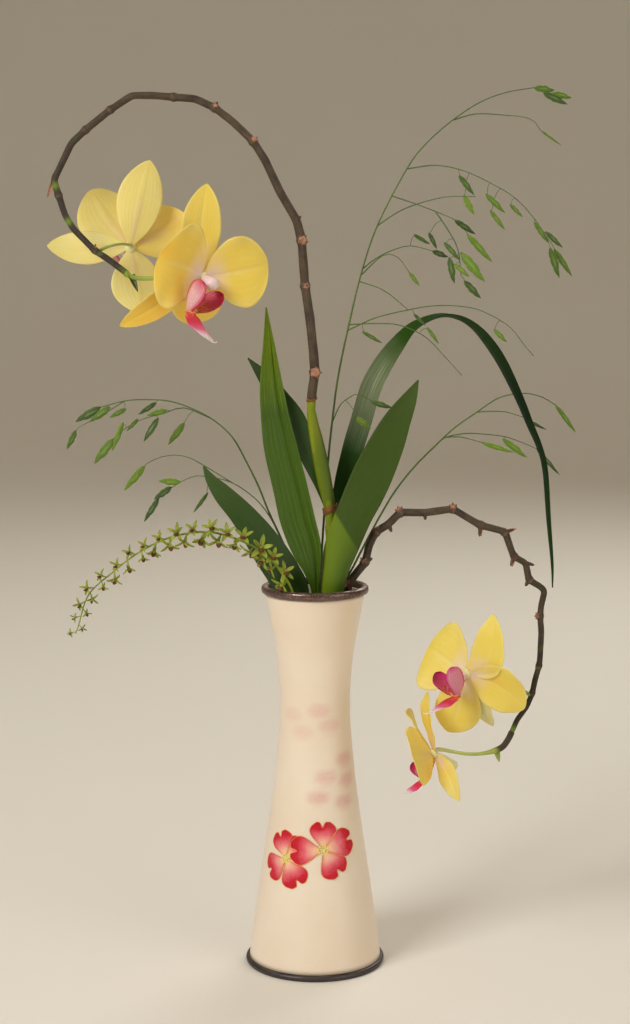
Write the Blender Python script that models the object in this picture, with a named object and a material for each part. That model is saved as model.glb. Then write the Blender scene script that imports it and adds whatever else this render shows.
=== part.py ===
# Orchid arrangement in a tall waisted vase: two flowering spikes, leaves, grasses and a raceme.
# Blender 4.5 script, metres, +Z up. The origin is on the table under the middle of the vase.
# -Y is the front: the side from which the arrangement is seen.

import math
import random

import bmesh
import bpy
from mathutils import Matrix, Vector

# Driving dimensions of the vase
VASE_HEIGHT = 0.240
VASE_WALL = 0.002
VASE_FLOOR_TOP = 0.009
RING_HEIGHT_TOP = 0.005
RING_HEIGHT_FOOT = 0.0035
RIM_OUTER_RADIUS = 0.0332
RIM_INNER_RADIUS = 0.0288
FOOT_OUTER_RADIUS = 0.0435
FOOT_INNER_RADIUS = 0.037
RING_BEVEL = 0.0012
TURNED_STEPS = 30
GAP = 0.0003

# Outer profile of the vase body as (radius, height): wide foot, narrow waist, flared mouth
BODY_BOTTOM = RING_HEIGHT_FOOT + GAP
BODY_TOP = VASE_HEIGHT - RING_HEIGHT_TOP - GAP
VASE_PROFILE = (
    (0.0413, BODY_BOTTOM), (0.0372, 0.035), (0.0316, 0.073), (0.0263, 0.110), (0.0226, 0.147),
    (0.0219, 0.165), (0.0223, 0.180), (0.0243, 0.200), (0.0272, 0.216), (0.0297, 0.230),
    (0.0308, BODY_TOP),
)

# The water stands below the waist, and the stems fan out in it down to the floor of the vase
WATER_LEVEL = 0.150
WAIST_HEIGHT = 0.165
STEM_FOOT_HEIGHT = VASE_FLOOR_TOP + GAP
STEM_SPREAD = 1.5
HOLE_CLEARANCE = 0.0006

# Where each stem crosses the vase's waist, as x, y
CANE_AT_WAIST = (0.006, -0.003)
PLEATED_AT_WAIST = (-0.002, -0.013)
LEFT_LEAF_AT_WAIST = (-0.011, -0.004)
STRAP_AT_WAIST = (0.006, 0.010)
SPIKE_RIGHT_AT_WAIST = (0.0155, 0.001)
RACEME_AT_WAIST = (-0.009, -0.0135)
GRASS_RIGHT_AT_WAIST = (-0.001, 0.008)
GRASS_LEFT_AT_WAIST = (-0.009, 0.008)
GRASS_LOW_AT_WAIST = (0.0145, 0.0075)

# Stem radii in the water, and the holes that take them
CANE_FOOT_RADIUS = 0.0050
SPIKE_RIGHT_RADIUS = 0.0027
GRASS_RADIUS = 0.0008
RACEME_RADIUS = 0.0011
PETIOLE_HALF_WIDTH = 0.0022
PETIOLE_THICKNESS = 0.0022
PETIOLE_HOLE = 0.0034
STEM_HOLES = (
    (CANE_AT_WAIST, CANE_FOOT_RADIUS + HOLE_CLEARANCE),
    (SPIKE_RIGHT_AT_WAIST, SPIKE_RIGHT_RADIUS + HOLE_CLEARANCE),
    (PLEATED_AT_WAIST, PETIOLE_HOLE),
    (LEFT_LEAF_AT_WAIST, PETIOLE_HOLE),
    (STRAP_AT_WAIST, PETIOLE_HOLE),
    (RACEME_AT_WAIST, RACEME_RADIUS + HOLE_CLEARANCE),
    (GRASS_RIGHT_AT_WAIST, GRASS_RADIUS + HOLE_CLEARANCE),
    (GRASS_LEFT_AT_WAIST, GRASS_RADIUS + HOLE_CLEARANCE),
    (GRASS_LOW_AT_WAIST, GRASS_RADIUS + HOLE_CLEARANCE),
)
HOLE_OVERRUN = 0.1

# Thickness of leaves, petals and stalks
LEAF_THICKNESS = 0.0009
PETAL_THICKNESS = 0.0009
STALK_RADIUS = 0.0004
TIP_HALF_WIDTH = 0.0004
WELD = 0.00001
SHARP_ANGLE = 35

FRONT = Vector((0.0, -1.0, 0.0))
UP = Vector((0.0, 0.0, 1.0))


# Scene and materials
def clear_scene():
    for item in list(bpy.data.objects):
        bpy.data.objects.remove(item, do_unlink=True)


def surface(name, colour, roughness, metallic=0.0):
    material = bpy.data.materials.new(name)
    material.use_nodes = True
    shader = material.node_tree.nodes["Principled BSDF"]
    shader.inputs["Base Color"].default_value = (*colour, 1.0)
    shader.inputs["Roughness"].default_value = roughness
    shader.inputs["Metallic"].default_value = metallic
    return material


def finish(item, name, material):
    item.name = name
    item.data.name = name
    item.data.materials.clear()
    item.data.materials.append(material)
    item.data.shade_smooth()
    item.data.set_sharp_from_angle(angle=math.radians(SHARP_ANGLE))


def solid_from_bmesh(name, mesh_data):
    bmesh.ops.recalc_face_normals(mesh_data, faces=mesh_data.faces)
    mesh = bpy.data.meshes.new(name)
    mesh_data.to_mesh(mesh)
    mesh_data.free()
    item = bpy.data.objects.new(name, mesh)
    bpy.context.scene.collection.objects.link(item)
    return item


# Smooth routes
def curve_point(before, start, end, after, share):
    """Catmull-Rom curve between start and end."""
    a = 2.0 * start
    b = end - before
    c = 2.0 * before - 5.0 * start + 4.0 * end - after
    d = 3.0 * start - before - 3.0 * end + after
    return 0.5 * (a + b * share + c * share ** 2 + d * share ** 3)


def smooth_route(places, step):
    """Points about a step apart on a smooth curve through the places."""
    knots = [Vector(place) for place in places]
    ends = [2.0 * knots[0] - knots[1]] + knots + [2.0 * knots[-1] - knots[-2]]
    route = []
    for index in range(len(knots) - 1):
        before, start, end, after = ends[index:index + 4]
        count = max(1, round((end - start).length / step))
        for part in range(count):
            route.append(curve_point(before, start, end, after, part / count))
    route.append(knots[-1])
    return route


def lengths_along(route):
    total = 0.0
    lengths = [0.0]
    for start, end in zip(route, route[1:]):
        total += (end - start).length
        lengths.append(total)
    return lengths


def point_at(route, lengths, place):
    """The point a given length along a route."""
    for index in range(1, len(route)):
        if lengths[index] >= place:
            share = (place - lengths[index - 1]) / max(lengths[index] - lengths[index - 1], 1e-9)
            return route[index - 1].lerp(route[index], share)
    return route[-1].copy()


def nearest_on(routes, place):
    target = Vector(place)
    return min((point for route in routes for point in route), key=lambda point: (point - target).length)


def below_rim(at_waist):
    """Foot and waist points of a stem: straight in the water, then through the neck."""
    x, y = at_waist
    return [Vector((x * STEM_SPREAD, y * STEM_SPREAD, STEM_FOOT_HEIGHT)), Vector((x, y, WAIST_HEIGHT))]


# Building blocks
def tube(name, route, radii, resolution):
    """A closed round rod: a poly curve with a bevel and a radius at each point."""
    data = bpy.data.curves.new(name, "CURVE")
    data.dimensions = "3D"
    data.bevel_depth = 1.0
    data.bevel_resolution = resolution
    data.use_fill_caps = True
    spline = data.splines.new("POLY")
    spline.points.add(len(route) - 1)
    for point, place, radius in zip(spline.points, route, radii):
        point.co = (*place, 1.0)
        point.radius = radius
    curve = bpy.data.objects.new(name, data)
    bpy.context.scene.collection.objects.link(curve)
    depsgraph = bpy.context.evaluated_depsgraph_get()
    mesh = bpy.data.meshes.new_from_object(curve.evaluated_get(depsgraph))
    bpy.data.objects.remove(curve, do_unlink=True)
    shape = bmesh.new()
    shape.from_mesh(mesh)
    bmesh.ops.remove_doubles(shape, verts=shape.verts, dist=WELD)
    return solid_from_bmesh(name, shape)


def tapered(count, start, end):
    return [start + (end - start) * index / max(count - 1, 1) for index in range(count)]


def turned(name, profile):
    """A profile of (radius, height) spun about the vase's axis."""
    shape = bmesh.new()
    verts = [shape.verts.new((radius, 0.0, height)) for radius, height in profile]
    edges = [shape.edges.new(pair) for pair in zip(verts, verts[1:])]
    if profile[0][0] > 0.0:
        edges.append(shape.edges.new((verts[-1], verts[0])))
    bmesh.ops.spin(
        shape, geom=verts + edges, cent=(0, 0, 0), axis=(0, 0, 1), angle=math.tau,
        steps=TURNED_STEPS, use_merge=True,
    )
    bmesh.ops.remove_doubles(shape, verts=shape.verts, dist=WELD)
    return solid_from_bmesh(name, shape)


def blade(name, spine, sides, half_widths, thicknesses, cells, lift):
    """A thin closed leaf: a grid laid along the spine, triangulated, then given its thickness.

    lift(share, across) raises the surface at a share of the length and a place across from -1 to 1.
    """
    rows = len(spine) - 1
    tangents = [spine[min(row + 1, rows)] - spine[max(row - 1, 0)] for row in range(rows + 1)]
    normals = [side.cross(tangent).normalized() for side, tangent in zip(sides, tangents)]
    shape = bmesh.new()
    bmesh.ops.create_grid(shape, x_segments=cells, y_segments=rows, size=1.0)
    bmesh.ops.triangulate(shape, faces=shape.faces, quad_method="FIXED")
    raised = {}
    for vert in shape.verts:
        row = round((vert.co.y + 1.0) * rows / 2.0)
        across = vert.co.x
        middle = spine[row] + sides[row] * half_widths[row] * across
        middle += normals[row] * lift(row / rows, across)
        half = normals[row] * thicknesses[row] / 2.0
        raised[vert.index] = (middle, half)
    indexed = {vert: raised[vert.index] for vert in shape.verts}
    extruded = bmesh.ops.extrude_face_region(shape, geom=list(shape.faces), use_keep_orig=True)
    tops = [item for item in extruded["geom"] if isinstance(item, bmesh.types.BMVert)]
    copies = {tuple(vert.co): vert for vert in tops}
    for vert, (middle, half) in indexed.items():
        top = copies[tuple(vert.co)]
        vert.co = middle - half
        top.co = middle + half
    return solid_from_bmesh(name, shape)


def fuse(pieces, solver="EXACT"):
    """One Boolean union of all the pieces; returns the first, now holding the whole."""
    base = pieces[0]
    others = bpy.data.collections.new("others")
    for piece in pieces[1:]:
        others.objects.link(piece)
    return apply_boolean(base, others, "UNION", solver)


def bore(body, cutters):
    """Cuts plain holes out of a body."""
    holes = bpy.data.collections.new("holes")
    for cutter in cutters:
        holes.objects.link(cutter)
    return apply_boolean(body, holes, "DIFFERENCE", "EXACT")


def apply_boolean(base, others, operation, solver):
    modifier = base.modifiers.new("join", "BOOLEAN")
    modifier.operand_type = "COLLECTION"
    modifier.collection = others
    modifier.operation = operation
    modifier.solver = solver
    depsgraph = bpy.context.evaluated_depsgraph_get()
    mesh = bpy.data.meshes.new_from_object(base.evaluated_get(depsgraph))
    base.modifiers.clear()
    base.data = mesh
    for item in list(others.objects):
        bpy.data.objects.remove(item, do_unlink=True)
    bpy.data.collections.remove(others)
    return base


# Vase
def vase_radius_at(height):
    for (low_radius, low), (high_radius, high) in zip(VASE_PROFILE, VASE_PROFILE[1:]):
        if height <= high:
            share = (height - low) / (high - low)
            return low_radius + (high_radius - low_radius) * share
    return VASE_PROFILE[-1][0]


def inner_wall(lowest, highest, clearance):
    """Points of the inner wall from low to high, drawn in by the clearance."""
    heights = [height for _, height in VASE_PROFILE if lowest < height < highest]
    heights = [lowest] + heights + [highest]
    return [(vase_radius_at(height) - VASE_WALL - clearance, height) for height in heights]


def make_vase(glaze, metal):
    inside = inner_wall(VASE_FLOOR_TOP, BODY_TOP, 0.0)
    profile = [(0.0, BODY_BOTTOM)] + list(VASE_PROFILE) + inside[::-1] + [(0.0, VASE_FLOOR_TOP)]
    finish(turned("vase_body", profile), "vase_body", glaze)

    low = VASE_HEIGHT - RING_HEIGHT_TOP
    rim = (
        (RIM_INNER_RADIUS, low), (RIM_OUTER_RADIUS - RING_BEVEL, low),
        (RIM_OUTER_RADIUS, low + RING_BEVEL), (RIM_OUTER_RADIUS, VASE_HEIGHT - RING_BEVEL),
        (RIM_OUTER_RADIUS - RING_BEVEL, VASE_HEIGHT), (RIM_INNER_RADIUS + RING_BEVEL, VASE_HEIGHT),
        (RIM_INNER_RADIUS, VASE_HEIGHT - RING_BEVEL),
    )
    finish(turned("rim_ring", rim), "rim_ring", metal)

    foot = (
        (FOOT_INNER_RADIUS, 0.0), (FOOT_OUTER_RADIUS - RING_BEVEL, 0.0), (FOOT_OUTER_RADIUS, RING_BEVEL),
        (FOOT_OUTER_RADIUS - RING_BEVEL / 2, RING_HEIGHT_FOOT), (FOOT_INNER_RADIUS, RING_HEIGHT_FOOT),
    )
    finish(turned("foot_ring", foot), "foot_ring", metal)


def make_water(water):
    """The water fills the vase to its level, with a hole for each stem."""
    lowest = VASE_FLOOR_TOP + GAP
    profile = [(0.0, lowest)] + inner_wall(lowest, WATER_LEVEL, GAP) + [(0.0, WATER_LEVEL)]
    body = turned("water", profile)
    cutters = []
    for number, (at_waist, radius) in enumerate(STEM_HOLES):
        foot, waist = below_rim(at_waist)
        reach = (waist - foot) * HOLE_OVERRUN
        sides = 2 if radius > PETIOLE_HOLE else 1
        cutter = tube(f"hole_{number}", [foot - reach, waist + reach], [radius] * 2, sides)
        cutters.append(cutter)
    finish(bore(body, cutters), "water", water)


# Leaves
PETIOLE_TOP = VASE_HEIGHT - 0.02
PETIOLE_WIDEST = PETIOLE_HALF_WIDTH * 1.3


def leaf(name, stations, cells, thickness, lift, sides=None):
    """A leaf from stations of (x, y, z, half width); its foot stations are a thick petiole."""
    spine = [Vector(station[:3]) for station in stations]
    half_widths = [station[3] for station in stations]
    thicknesses = []
    for place, half_width in zip(spine, half_widths):
        in_vase = place.z < PETIOLE_TOP and half_width <= PETIOLE_WIDEST
        thicknesses.append(PETIOLE_THICKNESS if in_vase else thickness)
    if sides is None:
        sides = []
        for index in range(len(spine)):
            tangent = spine[min(index + 1, len(spine) - 1)] - spine[max(index - 1, 0)]
            sides.append(tangent.cross(FRONT).normalized())
    return blade(name, spine, sides, half_widths, thicknesses, cells, lift)


def smooth_stations(stations, step):
    """Stations resampled on a smooth curve, their half widths with them."""
    places = smooth_route([Vector(station[:3]) for station in stations], step)
    widths = []
    for index in range(len(stations) - 1):
        span = (Vector(stations[index + 1][:3]) - Vector(stations[index][:3])).length
        count = max(1, round(span / step))
        for part in range(count):
            share = part / count
            widths.append(stations[index][3] * (1.0 - share) + stations[index + 1][3] * share)
    widths.append(stations[-1][3])
    return [(*place, width) for place, width in zip(places, widths)]


def petiole(at_waist):
    foot, waist = below_rim(at_waist)
    return [(*foot, PETIOLE_HALF_WIDTH), (*waist, PETIOLE_HALF_WIDTH)]


def swell(share, start):
    """Nothing up to the start, full halfway on from there, nothing at the end."""
    return math.sin(math.pi * min(1.0, max(0.0, (share - start) / (1.0 - start))))


PLEATED_BLADE = (
    (0.000, -0.0145, 0.215, 0.0024), (0.000, -0.0145, 0.237, 0.0028),
    (-0.0015, -0.0145, 0.2505, 0.0060), (-0.005, -0.0142, 0.265, 0.0098),
    (-0.0105, -0.0138, 0.283, 0.0110), (-0.015, -0.0125, 0.3025, 0.0108),
    (-0.0205, -0.011, 0.325, 0.0104), (-0.024, -0.010, 0.344, 0.0088),
    (-0.0265, -0.009, 0.365, 0.0069), (-0.028, -0.009, 0.390, 0.0034),
    (-0.0295, -0.008, 0.411, TIP_HALF_WIDTH),
)
PLEATED_STEP = 0.018
PLEAT_DEPTH = 0.0011
PLEAT_CELLS = 8
PLEATS_START = 0.25
PLEATS_GROW = 0.2
PLEATS_FADE = 0.1


def make_pleated_leaf(material):
    stations = petiole(PLEATED_AT_WAIST) + smooth_stations(PLEATED_BLADE, PLEATED_STEP)

    def pleats(share, across):
        grown = min(1.0, max(0.0, (share - PLEATS_START) / PLEATS_GROW))
        grown *= min(1.0, (1.0 - share) / PLEATS_FADE)
        fold = 1.0 if round(across * PLEAT_CELLS / 2) % 2 else -1.0
        return PLEAT_DEPTH * fold * grown

    item = leaf("leaf_pleated", stations, PLEAT_CELLS, LEAF_THICKNESS, pleats)
    finish(item, "leaf_pleated", material)


LEFT_LEAF_BLADE = (
    (-0.0110, -0.006, 0.200, 0.0050), (-0.0120, -0.007, 0.220, 0.0090),
    (-0.0130, -0.008, 0.2375, 0.0108), (-0.0190, -0.0085, 0.2495, 0.0114),
    (-0.027, -0.009, 0.262, 0.0113), (-0.0355, -0.0095, 0.2745, 0.0100),
    (-0.045, -0.010, 0.2865, 0.0082), (-0.0555, -0.010, 0.2975, 0.0064),
    (-0.0635, -0.010, 0.307, 0.0034), (-0.068, -0.010, 0.315, TIP_HALF_WIDTH),
)
LEFT_LEAF_STEP = 0.011
LEFT_LEAF_KEEL = 0.0015
LEFT_LEAF_KEEL_START = 0.2


def make_left_leaf(material):
    stations = petiole(LEFT_LEAF_AT_WAIST) + smooth_stations(LEFT_LEAF_BLADE, LEFT_LEAF_STEP)

    def keel(share, across):
        return LEFT_LEAF_KEEL * abs(across) * swell(share, LEFT_LEAF_KEEL_START)

    finish(leaf("leaf_left", stations, 4, LEAF_THICKNESS, keel), "leaf_left", material)


# The strap leaf as (x, y, z, half width, twist): it rises facing the front, turns edge on at
# the top of its arch and hangs with its underside showing
STRAP_BLADE = (
    (0.009, 0.011, 0.215, 0.0035, 20), (0.011, 0.0115, 0.237, 0.0042, 22),
    (0.013, 0.013, 0.265, 0.0056, 25), (0.018, 0.0145, 0.297, 0.0068, 28),
    (0.024, 0.0155, 0.322, 0.0074, 30), (0.0295, 0.0165, 0.3405, 0.0076, 32),
    (0.0355, 0.017, 0.3605, 0.0078, 35), (0.0425, 0.0165, 0.374, 0.0078, 42),
    (0.051, 0.015, 0.386, 0.0078, 54), (0.062, 0.0125, 0.398, 0.0076, 72),
    (0.077, 0.010, 0.4045, 0.0074, 86), (0.088, 0.006, 0.403, 0.0072, 98),
    (0.0975, 0.002, 0.397, 0.0070, 108), (0.106, -0.001, 0.3875, 0.0068, 114),
    (0.114, -0.0045, 0.375, 0.0062, 116), (0.1235, -0.008, 0.3555, 0.0050, 116),
    (0.130, -0.010, 0.340, 0.0042, 116), (0.136, -0.012, 0.326, 0.0034, 116),
    (0.1395, -0.013, 0.312, 0.0030, 116), (0.142, -0.0145, 0.282, 0.0024, 116),
    (0.1445, -0.016, 0.256, 0.0014, 116), (0.145, -0.017, 0.241, TIP_HALF_WIDTH, 116),
)
STRAP_FOOT_TWIST = 20
STRAP_CHANNEL = 0.0012
STRAP_CHANNEL_START = 0.1


def make_strap_leaf(material):
    stations = petiole(STRAP_AT_WAIST) + [station[:4] for station in STRAP_BLADE]
    twists = [STRAP_FOOT_TWIST] * 2 + [station[4] for station in STRAP_BLADE]
    spine = [Vector(station[:3]) for station in stations]
    sides = []
    for index, twist in enumerate(twists):
        tangent = spine[min(index + 1, len(spine) - 1)] - spine[max(index - 1, 0)]
        in_arch = Vector((tangent.z, 0.0, -tangent.x)).normalized()
        angle = math.radians(twist)
        sides.append((in_arch * math.cos(angle) + FRONT * math.sin(angle)).normalized())

    def channel(share, across):
        return STRAP_CHANNEL * abs(across) * swell(share, STRAP_CHANNEL_START)

    item = leaf("leaf_strap", stations, 2, LEAF_THICKNESS, channel, sides)
    finish(item, "leaf_strap", material)


# Cane: a stem in its sheaths with two blades, all one growth. Stations are (x, y, z, radius)
CANE_STEM = (
    (0.009, -0.0075, 0.215, 0.0054), (0.010, -0.010, 0.237, 0.0060), (0.0105, -0.010, 0.252, 0.0064),
    (0.0115, -0.010, 0.266, 0.0058), (0.0108, -0.010, 0.2745, 0.0043), (0.010, -0.010, 0.280, 0.0038),
    (0.0093, -0.010, 0.2865, 0.0040), (0.0091, -0.010, 0.2885, 0.0046), (0.0083, -0.010, 0.293, 0.0036),
    (0.0065, -0.010, 0.301, 0.0044), (0.0015, -0.0105, 0.3155, 0.0052), (-0.0010, -0.011, 0.326, 0.0050),
    (-0.0022, -0.0112, 0.340, 0.0034), (-0.0022, -0.0118, 0.349, 0.0029), (-0.002, -0.012, 0.3555, 0.0029),
)
BROAD_BLADE = (
    (0.0105, -0.0125, 0.240, 0.0030), (0.0145, -0.0145, 0.256, 0.0078), (0.018, -0.016, 0.270, 0.0095),
    (0.024, -0.0165, 0.285, 0.0112), (0.030, -0.0175, 0.298, 0.0122), (0.036, -0.0185, 0.313, 0.0122),
    (0.0435, -0.020, 0.330, 0.0106), (0.0495, -0.021, 0.3435, 0.0083), (0.0565, -0.0215, 0.3565, 0.0048),
    (0.062, -0.022, 0.368, TIP_HALF_WIDTH),
)
DARK_BLADE = (
    (-0.0005, -0.0100, 0.322, 0.0030), (-0.006, -0.0065, 0.333, 0.0056), (-0.013, -0.0035, 0.344, 0.0066),
    (-0.022, -0.0015, 0.356, 0.0060), (-0.031, 0.000, 0.3685, 0.0042),
    (-0.041, 0.002, 0.380, TIP_HALF_WIDTH),
)
BROAD_STEP = 0.013
DARK_STEP = 0.012
CANE_FOLD = 0.0016


def make_cane(material):
    foot, waist = below_rim(CANE_AT_WAIST)
    route = [foot, waist] + [Vector(station[:3]) for station in CANE_STEM]
    radii = [CANE_FOOT_RADIUS, CANE_FOOT_RADIUS] + [station[3] for station in CANE_STEM]

    def fold(share, across):
        return CANE_FOLD * abs(across) * swell(share, 0.0)

    pieces = [
        tube("cane", route, radii, 3),
        leaf("broad", smooth_stations(BROAD_BLADE, BROAD_STEP), 4, LEAF_THICKNESS, fold),
        leaf("dark", smooth_stations(DARK_BLADE, DARK_STEP), 2, LEAF_THICKNESS, fold),
    ]
    finish(fuse(pieces), "cane", material)


# Flower spikes: places along the stem, and the indices of those that are nodes
SPIKE_LEFT = (
    (-0.002, -0.012, 0.3561), (-0.0018, -0.012, 0.360), (0.000, -0.012, 0.372), (-0.001, -0.011, 0.385),
    (-0.003, -0.010, 0.404), (-0.006, -0.009, 0.424), (-0.008, -0.008, 0.451), (-0.011, -0.007, 0.463),
    (-0.021, -0.006, 0.480), (-0.030, -0.004, 0.499), (-0.037, -0.003, 0.510), (-0.049, -0.001, 0.5215),
    (-0.060, 0.000, 0.530), (-0.072, 0.001, 0.5355), (-0.085, 0.002, 0.5365), (-0.097, 0.002, 0.5375),
    (-0.110, 0.002, 0.5375), (-0.123, 0.001, 0.529), (-0.138, 0.000, 0.517), (-0.1465, -0.001, 0.509),
    (-0.154, -0.004, 0.493), (-0.157, -0.005, 0.487), (-0.154, -0.006, 0.478), (-0.150, -0.008, 0.466),
    (-0.145, -0.010, 0.458), (-0.132, -0.013, 0.445), (-0.124, -0.015, 0.440), (-0.1125, -0.017, 0.4315),
)
SPIKE_LEFT_NODES = (2, 5, 6, 10, 12, 14, 17, 18, 22, 25)
SPIKE_LEFT_BASE = 0.0033
SPIKE_LEFT_END = 0.0023

SPIKE_RIGHT = (
    (0.0175, -0.001, 0.205), (0.0185, -0.003, 0.222), (0.0205, -0.004, 0.241), (0.025, -0.005, 0.2475),
    (0.031, -0.006, 0.255), (0.033, -0.007, 0.265), (0.037, -0.008, 0.274), (0.045, -0.009, 0.279),
    (0.052, -0.010, 0.2865), (0.067, -0.012, 0.2865), (0.084, -0.013, 0.289), (0.094, -0.014, 0.283),
    (0.101, -0.014, 0.279), (0.109, -0.014, 0.277), (0.116, -0.014, 0.275), (0.119, -0.014, 0.266),
    (0.1215, -0.013, 0.2595), (0.129, -0.012, 0.2555), (0.131, -0.012, 0.245), (0.1385, -0.011, 0.2405),
    (0.141, -0.011, 0.238), (0.139, -0.010, 0.2285), (0.1385, -0.010, 0.222), (0.1395, -0.009, 0.212),
    (0.139, -0.008, 0.195), (0.1385, -0.008, 0.1905), (0.136, -0.008, 0.181), (0.1345, -0.009, 0.1735),
    (0.131, -0.010, 0.165), (0.125, -0.012, 0.1575), (0.1215, -0.014, 0.150),
)
SPIKE_RIGHT_NODES = (4, 6, 8, 10, 12, 14, 16, 18, 22, 25, 27)
SPIKE_RIGHT_END = 0.0019
SPIKE_STEP = 0.008
SPIKE_FINE_STEP = 0.001
CLEAR_OF_NODES = 0.004
COLLAR_GROWTH = 0.38
COLLAR_LENGTH = 0.0013
COLLAR_EDGE = 1.7

# Spurs beside the nodes: node index in the spike, direction, length
SPURS_LEFT = ((21, (-0.30, -0.35, -0.9), 0.0120), (25, (0.3, -0.5, 0.8), 0.005))
SPURS_RIGHT = (
    (4, (-0.5, -0.3, 0.8), 0.005), (8, (-0.3, 0.2, 0.95), 0.005), (12, (0.1, -0.2, -1.0), 0.0065),
    (14, (1.0, 0.1, 0.25), 0.0070), (16, (-0.2, -0.3, -0.95), 0.0065), (18, (0.5, 0.1, 0.9), 0.0085),
    (22, (-0.9, -0.2, 0.35), 0.005),
)
SPUR_MIDDLE = 0.45
SPUR_RADII = (0.0017, 0.0015, 0.0003)


def spike_radius(place, total, base, end, node_places):
    radius = base + (end - base) * place / total
    for node in node_places:
        radius *= 1.0 + COLLAR_GROWTH * math.exp(-((place - node) / COLLAR_LENGTH) ** 2)
    return radius


def spike(name, places, nodes, base, end, spurs, head=()):
    """A stem with a raised collar at each node, and spurs fused in beside some of them."""
    dense = list(head) + smooth_route(places, SPIKE_FINE_STEP)
    lengths = lengths_along(dense)
    total = lengths[-1]
    node_places = []
    for node in nodes:
        target = Vector(places[node])
        nearest = min(range(len(dense)), key=lambda index: (dense[index] - target).length)
        node_places.append(lengths[nearest])
    start = lengths[len(head)]
    count = math.ceil((total - start) / SPIKE_STEP)
    stops = [start + (total - start) * index / count for index in range(count + 1)]
    clear = [
        stop for stop in stops[1:-1]
        if min(abs(stop - node) for node in node_places) > CLEAR_OF_NODES
    ]
    edge = COLLAR_EDGE * COLLAR_LENGTH
    collars = [node + shift for node in node_places for shift in (-edge, 0.0, edge)]
    ordered = sorted([stops[0], stops[-1]] + clear + collars)
    route = list(head) + [point_at(dense, lengths, stop) for stop in ordered]
    radii = [base] * len(head)
    radii += [spike_radius(stop, total, base, end, node_places) for stop in ordered]
    pieces = [tube(name, route, radii, 1)]
    for number, (node, direction, length) in enumerate(spurs):
        root = Vector(places[node])
        aim = Vector(direction).normalized()
        points = [root, root + aim * length * SPUR_MIDDLE, root + aim * length]
        pieces.append(tube(f"spur_{number}", points, SPUR_RADII, 1))
    return fuse(pieces)


def make_spikes(wood):
    left = spike(
        "spike_left", SPIKE_LEFT, SPIKE_LEFT_NODES, SPIKE_LEFT_BASE, SPIKE_LEFT_END, SPURS_LEFT,
    )
    finish(left, "spike_left", wood)
    right = spike(
        "spike_right", SPIKE_RIGHT, SPIKE_RIGHT_NODES, SPIKE_RIGHT_RADIUS, SPIKE_RIGHT_END,
        SPURS_RIGHT, below_rim(SPIKE_RIGHT_AT_WAIST),
    )
    finish(right, "spike_right", wood)


# Raceme: a drooping stalk with star florets, each standing off it on its own foot
RACEME = (
    (-0.0125, -0.0205, 0.228), (-0.0135, -0.022, 0.238), (-0.018, -0.023, 0.248),
    (-0.029, -0.025, 0.262), (-0.045, -0.027, 0.2715), (-0.065, -0.029, 0.277),
    (-0.087, -0.031, 0.274), (-0.106, -0.033, 0.265), (-0.122, -0.035, 0.253),
    (-0.136, -0.037, 0.240), (-0.142, -0.038, 0.222), (-0.144, -0.038, 0.2165),
)
RACEME_STEP = 0.012
RACEME_TIP_RADIUS = 0.0005
RACEME_SEED = 7
FLORET_COUNT = 32
FLORETS_START = 0.024
FLORET_RADIUS = 0.0048
FLORET_SHRINK = 0.45
FLORET_LEAN_FRONT = (0.35, 1.1)
FLORET_LEAN_ALONG = (0.1, 0.6)
FLORET_DROOP = 0.35
FLORET_TURN = 1.2
FLORET_STAND_OFF = 0.0052
FLORET_NOTCH = 0.42
LIP_BULGE = 0.0012


def floret(name, foot, aim, turn, radius):
    """A five-pointed star: its back runs down to a foot in the stalk, its middle bulges a little."""
    across = aim.orthogonal().normalized()
    shape = bmesh.new()
    front = foot + aim * FLORET_STAND_OFF
    back = shape.verts.new(foot)
    middle = shape.verts.new(front + aim * LIP_BULGE)
    ring = []
    for corner in range(10):
        reach = radius if corner % 2 == 0 else radius * FLORET_NOTCH
        spoke = Matrix.Rotation(turn + corner * math.tau / 10, 3, aim) @ across
        ring.append(shape.verts.new(front + spoke * reach))
    for one, two in zip(ring, ring[1:] + ring[:1]):
        shape.faces.new((middle, one, two))
        shape.faces.new((back, two, one))
    return solid_from_bmesh(name, shape)


def make_raceme(material):
    rng = random.Random(RACEME_SEED)
    foot, waist = below_rim(RACEME_AT_WAIST)
    route = smooth_route(RACEME, RACEME_STEP)
    radii = tapered(len(route), RACEME_RADIUS, RACEME_TIP_RADIUS)
    pieces = [tube("raceme", [foot, waist] + route, [RACEME_RADIUS] * 2 + radii, 0)]
    lengths = lengths_along(route)
    spacing = (lengths[-1] - FLORETS_START) / (FLORET_COUNT - 1)
    for number in range(FLORET_COUNT):
        place = FLORETS_START + number * spacing
        root = point_at(route, lengths, place)
        along = (point_at(route, lengths, place + spacing) - root).normalized()
        if along.length == 0.0:
            along = (route[-1] - route[-2]).normalized()
        outward = along.cross(FRONT).normalized()
        side = 1.0 if number % 2 else -1.0
        lean = FRONT * rng.uniform(*FLORET_LEAN_FRONT) + along * rng.uniform(*FLORET_LEAN_ALONG)
        aim = (outward * side + lean - UP * FLORET_DROOP).normalized()
        share = number / (FLORET_COUNT - 1)
        radius = FLORET_RADIUS * (1.0 - FLORET_SHRINK * share ** 2)
        pieces.append(floret(f"floret_{number}", root, aim, rng.uniform(0.0, FLORET_TURN), radius))
    finish(fuse(pieces, "MANIFOLD"), "raceme", material)


# Grasses: a main stem, side branches and flat spikelets that hang from them
SPIKELET_ROWS = (0.3, 0.65)
SPIKELET_SHAPE = (1.0, 0.9)
EAR_ROOT = 0.0015
EAR_DEPTH = 0.34
EAR_LEAST_DEPTH = 0.0007
EAR_TURN = 0.5
EAR_TILT = 0.3
EAR_ON_STALK = 0.2
LEAST_STALK = 0.0015
BRANCH_RADIUS = 0.0005
GRASS_STEP = 0.016


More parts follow.
